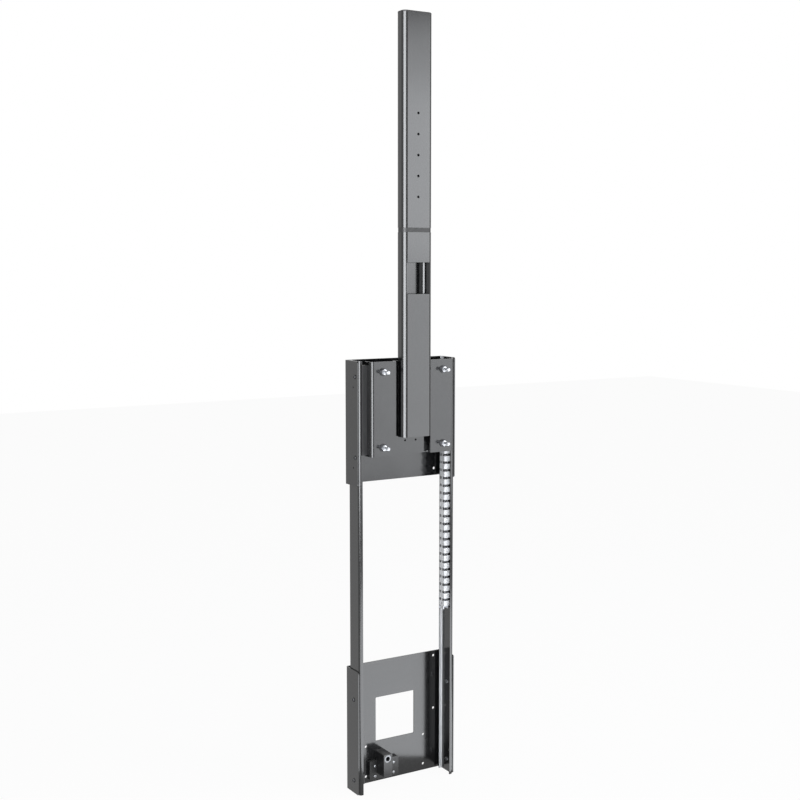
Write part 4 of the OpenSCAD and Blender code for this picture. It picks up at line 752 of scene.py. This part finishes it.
def threadTree():
    # thread from the origin up; four rows of points make one tooth, and the rows climb one lead a turn
    tree, given, made = newTree("threadedRod", [
        ("Length", "Float"), ("Pitch", "Float"), ("Starts", "Float"), ("Crest Radius", "Float"),
        ("Root Radius", "Float"), ("Crest Skew", "Float"), ("Sides", "Int"), ("Finish", "Material")])
    value = given.outputs
    lead = calc(tree, "MULTIPLY", value["Pitch"], value["Starts"])
    reach = calc(tree, "ADD", value["Length"], lead)
    teeth = calc(tree, "CEIL", calc(tree, "DIVIDE", reach, value["Pitch"]))
    rows = calc(tree, "MULTIPLY_ADD", teeth, 4.0, 1.0)
    grid = addNode(tree, "GeometryNodeMeshGrid", {"Size X": 1.0, "Size Y": 1.0})
    wire(tree, calc(tree, "ADD", value["Sides"], 1.0), grid.inputs["Vertices X"])
    wire(tree, rows, grid.inputs["Vertices Y"])
    spot = addNode(tree, "ShaderNodeSeparateXYZ")
    wire(tree, addNode(tree, "GeometryNodeInputPosition").outputs[0], spot.inputs[0])
    turn = calc(tree, "ADD", spot.outputs["X"], 0.5)
    angle = calc(tree, "MULTIPLY", turn, 2 * math.pi)
    row = calc(tree, "ROUND", calc(tree, "MULTIPLY", calc(tree, "ADD", spot.outputs["Y"], 0.5),
                                     calc(tree, "SUBTRACT", rows, 1.0)))
    tooth = calc(tree, "FLOOR", calc(tree, "DIVIDE", calc(tree, "ADD", row, 0.25), 4.0))
    corner = calc(tree, "SUBTRACT", row, calc(tree, "MULTIPLY", tooth, 4.0))
    odd = calc(tree, "MODULO", corner, 2.0)
    high = calc(tree, "GREATER_THAN", corner, 1.5)
    along = calc(tree, "ADD", tooth, calc(tree, "MULTIPLY_ADD", corner, 0.25,
                                            calc(tree, "MULTIPLY", odd, value["Crest Skew"])))
    climb = calc(tree, "MULTIPLY", lead, calc(tree, "SUBTRACT", turn, 1.0))
    free = calc(tree, "ADD", calc(tree, "MULTIPLY", along, value["Pitch"]), climb)
    height = calc(tree, "MINIMUM", calc(tree, "MAXIMUM", free, 0.0), value["Length"])
    depth = calc(tree, "SUBTRACT", value["Crest Radius"], value["Root Radius"])
    tall = calc(tree, "MULTIPLY_ADD", high, depth, value["Root Radius"])
    toEnd = calc(tree, "MINIMUM", height, calc(tree, "SUBTRACT", value["Length"], height))
    radius = calc(tree, "MINIMUM", tall, calc(tree, "ADD", value["Root Radius"], toEnd))
    point = addNode(tree, "ShaderNodeCombineXYZ")
    wire(tree, calc(tree, "MULTIPLY", radius, calc(tree, "COSINE", angle)), point.inputs["X"])
    wire(tree, calc(tree, "MULTIPLY", radius, calc(tree, "SINE", angle)), point.inputs["Y"])
    wire(tree, height, point.inputs["Z"])
    bend = addNode(tree, "GeometryNodeSetPosition")
    weld = addNode(tree, "GeometryNodeMergeByDistance", {"Distance": 1e-6})
    core = addNode(tree, "GeometryNodeMeshCylinder")
    lift = addNode(tree, "ShaderNodeCombineXYZ")
    raised = addNode(tree, "GeometryNodeTransform")
    join = addNode(tree, "GeometryNodeJoinGeometry")
    solid = addNode(tree, "GeometryNodeRealizeInstances")
    paint = addNode(tree, "GeometryNodeSetMaterial")
    wire(tree, grid.outputs["Mesh"], bend.inputs["Geometry"])
    wire(tree, point.outputs[0], bend.inputs["Position"])
    wire(tree, bend.outputs[0], weld.inputs["Geometry"])
    wire(tree, value["Sides"], core.inputs["Vertices"])
    wire(tree, value["Root Radius"], core.inputs["Radius"])
    wire(tree, value["Length"], core.inputs["Depth"])
    wire(tree, calc(tree, "MULTIPLY", value["Length"], 0.5), lift.inputs["Z"])
    wire(tree, core.outputs["Mesh"], raised.inputs["Geometry"])
    wire(tree, lift.outputs[0], raised.inputs["Translation"])
    wire(tree, weld.outputs[0], join.inputs[0])
    wire(tree, raised.outputs[0], join.inputs[0])
    wire(tree, join.outputs[0], solid.inputs["Geometry"])
    wire(tree, solid.outputs["Geometry"], paint.inputs["Geometry"])
    wire(tree, value["Finish"], paint.inputs["Material"])
    wire(tree, paint.outputs["Geometry"], made.inputs["Geometry"])
    return tree


def growMesh(tree, mesh, values):
    # runs a geometry tree on a mesh and returns the plain result
    source = bpy.data.objects.new("source", mesh)
    scene.collection.objects.link(source)
    modifier = source.modifiers.new("grow", "NODES")
    modifier.node_group = tree
    for item in tree.interface.items_tree:
        if item.item_type == "SOCKET" and item.in_out == "INPUT" and item.name in values:
            modifier[item.identifier] = values[item.name]
    graph = bpy.context.evaluated_depsgraph_get()
    made = bpy.data.meshes.new_from_object(source.evaluated_get(graph))
    bpy.data.objects.remove(source)
    return made


def pointCloud(spots):
    mesh = bpy.data.meshes.new("spots")
    mesh.from_pydata([tuple(place) for place, aim in spots], [], [])
    layer = mesh.attributes.new("aim", "FLOAT_VECTOR", "POINT")
    for entry, (place, aim) in zip(layer.data, spots):
        entry.vector = aim
    return mesh


def setOnSpots(name, node, template, spots, seed):
    holder = bpy.data.objects.new("template", template)
    made = growMesh(trees["fasteners"], pointCloud(spots),
                    {"Template": holder, "Finish": finishes[finishName[node]], "Roll Seed": seed})
    bpy.data.objects.remove(holder)
    made.name = name
    addPiece(name, made, node)


trees = {"fasteners": fastenerTree(), "thread": threadTree()}


# Screws

screwSizes = {
    # millimetres: head radius and height, shank radius; aim is the way the head faces
    "bracket_screws": {"head": 5.5, "tall": 3.0, "shank": 3.0, "drive": "hex", "aim": "outward"},
    "clamp_screws": {"head": 3.8, "tall": 2.4, "shank": 2.0, "drive": "cross", "aim": (0, -1, 0)},
    "guide_screws": {"head": 3.8, "tall": 2.4, "shank": 2.0, "drive": "cross", "aim": "inward"},
    "nut_bracket_screws": {"head": 3.8, "tall": 2.4, "shank": 2.0, "drive": "hex", "aim": (1, 0, 0)},
    "drive_nut_screws": {"head": 2.8, "tall": 1.8, "shank": 1.5, "drive": "hex", "aim": (0, 0, 1)},
    "chain_bracket_screws": {"head": 3.8, "tall": 2.4, "shank": 2.0, "drive": "cross", "aim": (-1, 0, 0)},
    "chain_anchor_screws": {"head": 2.8, "tall": 1.8, "shank": 1.5, "drive": "cross", "aim": (-1, 0, 0)},
    "gearbox_screws": {"head": 2.8, "tall": 1.8, "shank": 1.5, "drive": "hex", "aim": (0, 0, 1)},
    "splice_screws": {"head": 2.8, "tall": 1.8, "shank": 1.5, "drive": "cross", "aim": (0, 1, 0)},
    "tube_screws": {"head": 4.5, "tall": 3.0, "shank": 2.5, "drive": "hex", "aim": (0, 1, 0)},
}


def aimOf(rule, middle):
    if rule == "outward":
        return Vector((math.copysign(1, middle.x), 0, 0))
    if rule == "inward":
        return Vector((-math.copysign(1, middle.x), 0, 0))
    return Vector(rule)


def headSpots(node, size):
    # the underside of each head, read from the solids' own corners, and the shank's length
    spots, length = [], 0
    for low, high in solidBoxes(node):
        middle = (low + high) / 2
        aim = aimOf(size["aim"], middle)
        half = abs(aim.dot(high - low)) / 2
        spots.append((middle + aim * (half - size["tall"] / 1000), aim))
        length = 2 * half * 1000 - size["tall"]
    return spots, length


firstSeed = 3
for seed, (node, size) in enumerate(screwSizes.items(), firstSeed):
    spots, length = headSpots(node, size)
    template = screwMesh(node + "Template", {**size, "length": length})
    setOnSpots(node.replace("_", " ").title().replace(" ", ""), node, template, spots, seed)
print("screws set:", len(screwSizes), "kinds")


# Studs, nuts and spindle

# millimetres; the spindle's heights count from the same zero as in the solids' source
studLook = {"radius": 4.0, "root": 3.35, "pitch": 1.25, "starts": 1, "sides": 28, "tip": 0.6,
            "tipFlat": 0.4, "tipSlope": 1.0, "threadBack": 0.2, "coreShort": 4.0,
            "headApothem": 6.5, "headTall": 5.0, "seed": 21}
nutLook = {"apothem": 6.5, "bore": 3.42, "lead": 0.5, "seed": 22}
spindleLook = {"radius": 6.0, "root": 4.9, "journal": 4.0, "pitch": 4.0, "starts": 4, "sides": 32,
               "foot": 26.5, "threadFrom": 33.5, "threadTo": 1039.0, "chamfer": 0.4, "overlap": 1.0}
crestSkew = 0.07


def threadMesh(look, length, finish):
    return growMesh(trees["thread"], bpy.data.meshes.new("thread"), {
        "Length": length / 1000, "Pitch": look["pitch"] / 1000, "Starts": float(look["starts"]),
        "Crest Radius": look["radius"] / 1000, "Root Radius": look["root"] / 1000, "Crest Skew": crestSkew,
        "Sides": look["sides"], "Finish": finishes[finish]})


def joinMeshes(name, parts):
    # parts are (mesh, matrix)
    shape = bmesh.new()
    for mesh, matrix in parts:
        moved = mesh.copy()
        moved.transform(matrix)
        shape.from_mesh(moved)
        bpy.data.meshes.remove(moved)
    joined = bpy.data.meshes.new(name)
    shape.to_mesh(joined)
    shape.free()
    return joined


def shiftUp(height):
    return Matrix.Translation((0, 0, height))


def studPiece(look):
    # one stud from its tip (origin, facing +Z) back to its hex head
    low, high = solidBoxes("carriage_studs")[0]
    nutBack = solidBoxes("stud_nuts")[0][1].y
    total = high.y - low.y
    thread = (nutBack - low.y) * 1000 - look["threadBack"]
    tipRadius, root, apothem = ((look["radius"] - look["tip"]) / 1000, look["root"] / 1000,
                                look["headApothem"] / 1000)
    tip = latheMesh("tip", [circleAt(tipRadius, 0), circleAt(tipRadius, -look["tipFlat"] / 1000),
                            circleAt(root, -look["tipSlope"] / 1000),
                            circleAt(root, look["coreShort"] / 1000 - total)], latheSides["tip"])
    head = latheMesh("head", [chamferedHex(apothem, 0), hexAt(apothem, -look["headTall"] / 1000)],
                     latheSides["hexagon"])
    flip = Matrix.Rotation(math.pi, 4, "X")
    return joinMeshes("studTemplate", [
        (threadMesh(look, thread, "brightZinc"), shiftUp(-look["threadBack"] / 1000) @ flip),
        (tip, Matrix.Identity(4)), (head, shiftUp(look["headTall"] / 1000 - total))])


def frontSpots(node, aim):
    # the middle of each solid's face on the side that it faces
    spots = []
    for low, high in solidBoxes(node):
        half = abs(aim.dot(high - low)) / 2
        spots.append(((low + high) / 2 + aim * half, aim))
    return spots


def nutPiece(look):
    # one nut as tall as its solid, with its front face at the origin
    low, high = solidBoxes("stud_nuts")[0]
    tall = (high.y - low.y) * 1000
    mesh = nutMesh("nutTemplate", {**look, "tall": tall})
    mesh.transform(shiftUp(-tall / 1000))
    return mesh


frontAim = Vector((0, -1, 0))
for name, node, template, seed in (
        ("CarriageStuds", "carriage_studs", studPiece(studLook), studLook["seed"]),
        ("StudNuts", "stud_nuts", nutPiece(nutLook), nutLook["seed"])):
    setOnSpots(name, node, template, frontSpots(node, frontAim), seed)


def spindlePiece(look):
    # threaded length between two plain journals, on the spindle's own axis
    low, high = solidBoxes("spindle")[0]
    foot, top = low.z, high.z
    start = foot + (look["threadFrom"] - look["foot"]) / 1000
    end = start + (look["threadTo"] - look["threadFrom"]) / 1000
    journal, chamfer, overlap = (look[key] / 1000 for key in ("journal", "chamfer", "overlap"))
    below = latheMesh("below", [circleAt(journal - chamfer, 0), circleAt(journal, chamfer),
                                circleAt(journal, start - foot + overlap)], latheSides["journal"])
    above = latheMesh("above", [circleAt(journal, 0), circleAt(journal, top - end + overlap - chamfer),
                                circleAt(journal - chamfer, top - end + overlap)], latheSides["journal"])
    rod = threadMesh(look, (end - start) * 1000, "greasedScrew")
    axis = Matrix.Translation(((low.x + high.x) / 2, (low.y + high.y) / 2, 0))
    mesh = joinMeshes("Spindle", [(rod, axis @ shiftUp(start)), (below, axis @ shiftUp(foot)),
                                  (above, axis @ shiftUp(end - overlap))])
    mesh.materials.append(finishes["greasedScrew"])
    return mesh


addPiece("Spindle", spindlePiece(spindleLook), "spindle")
print("studs, nuts and spindle set")
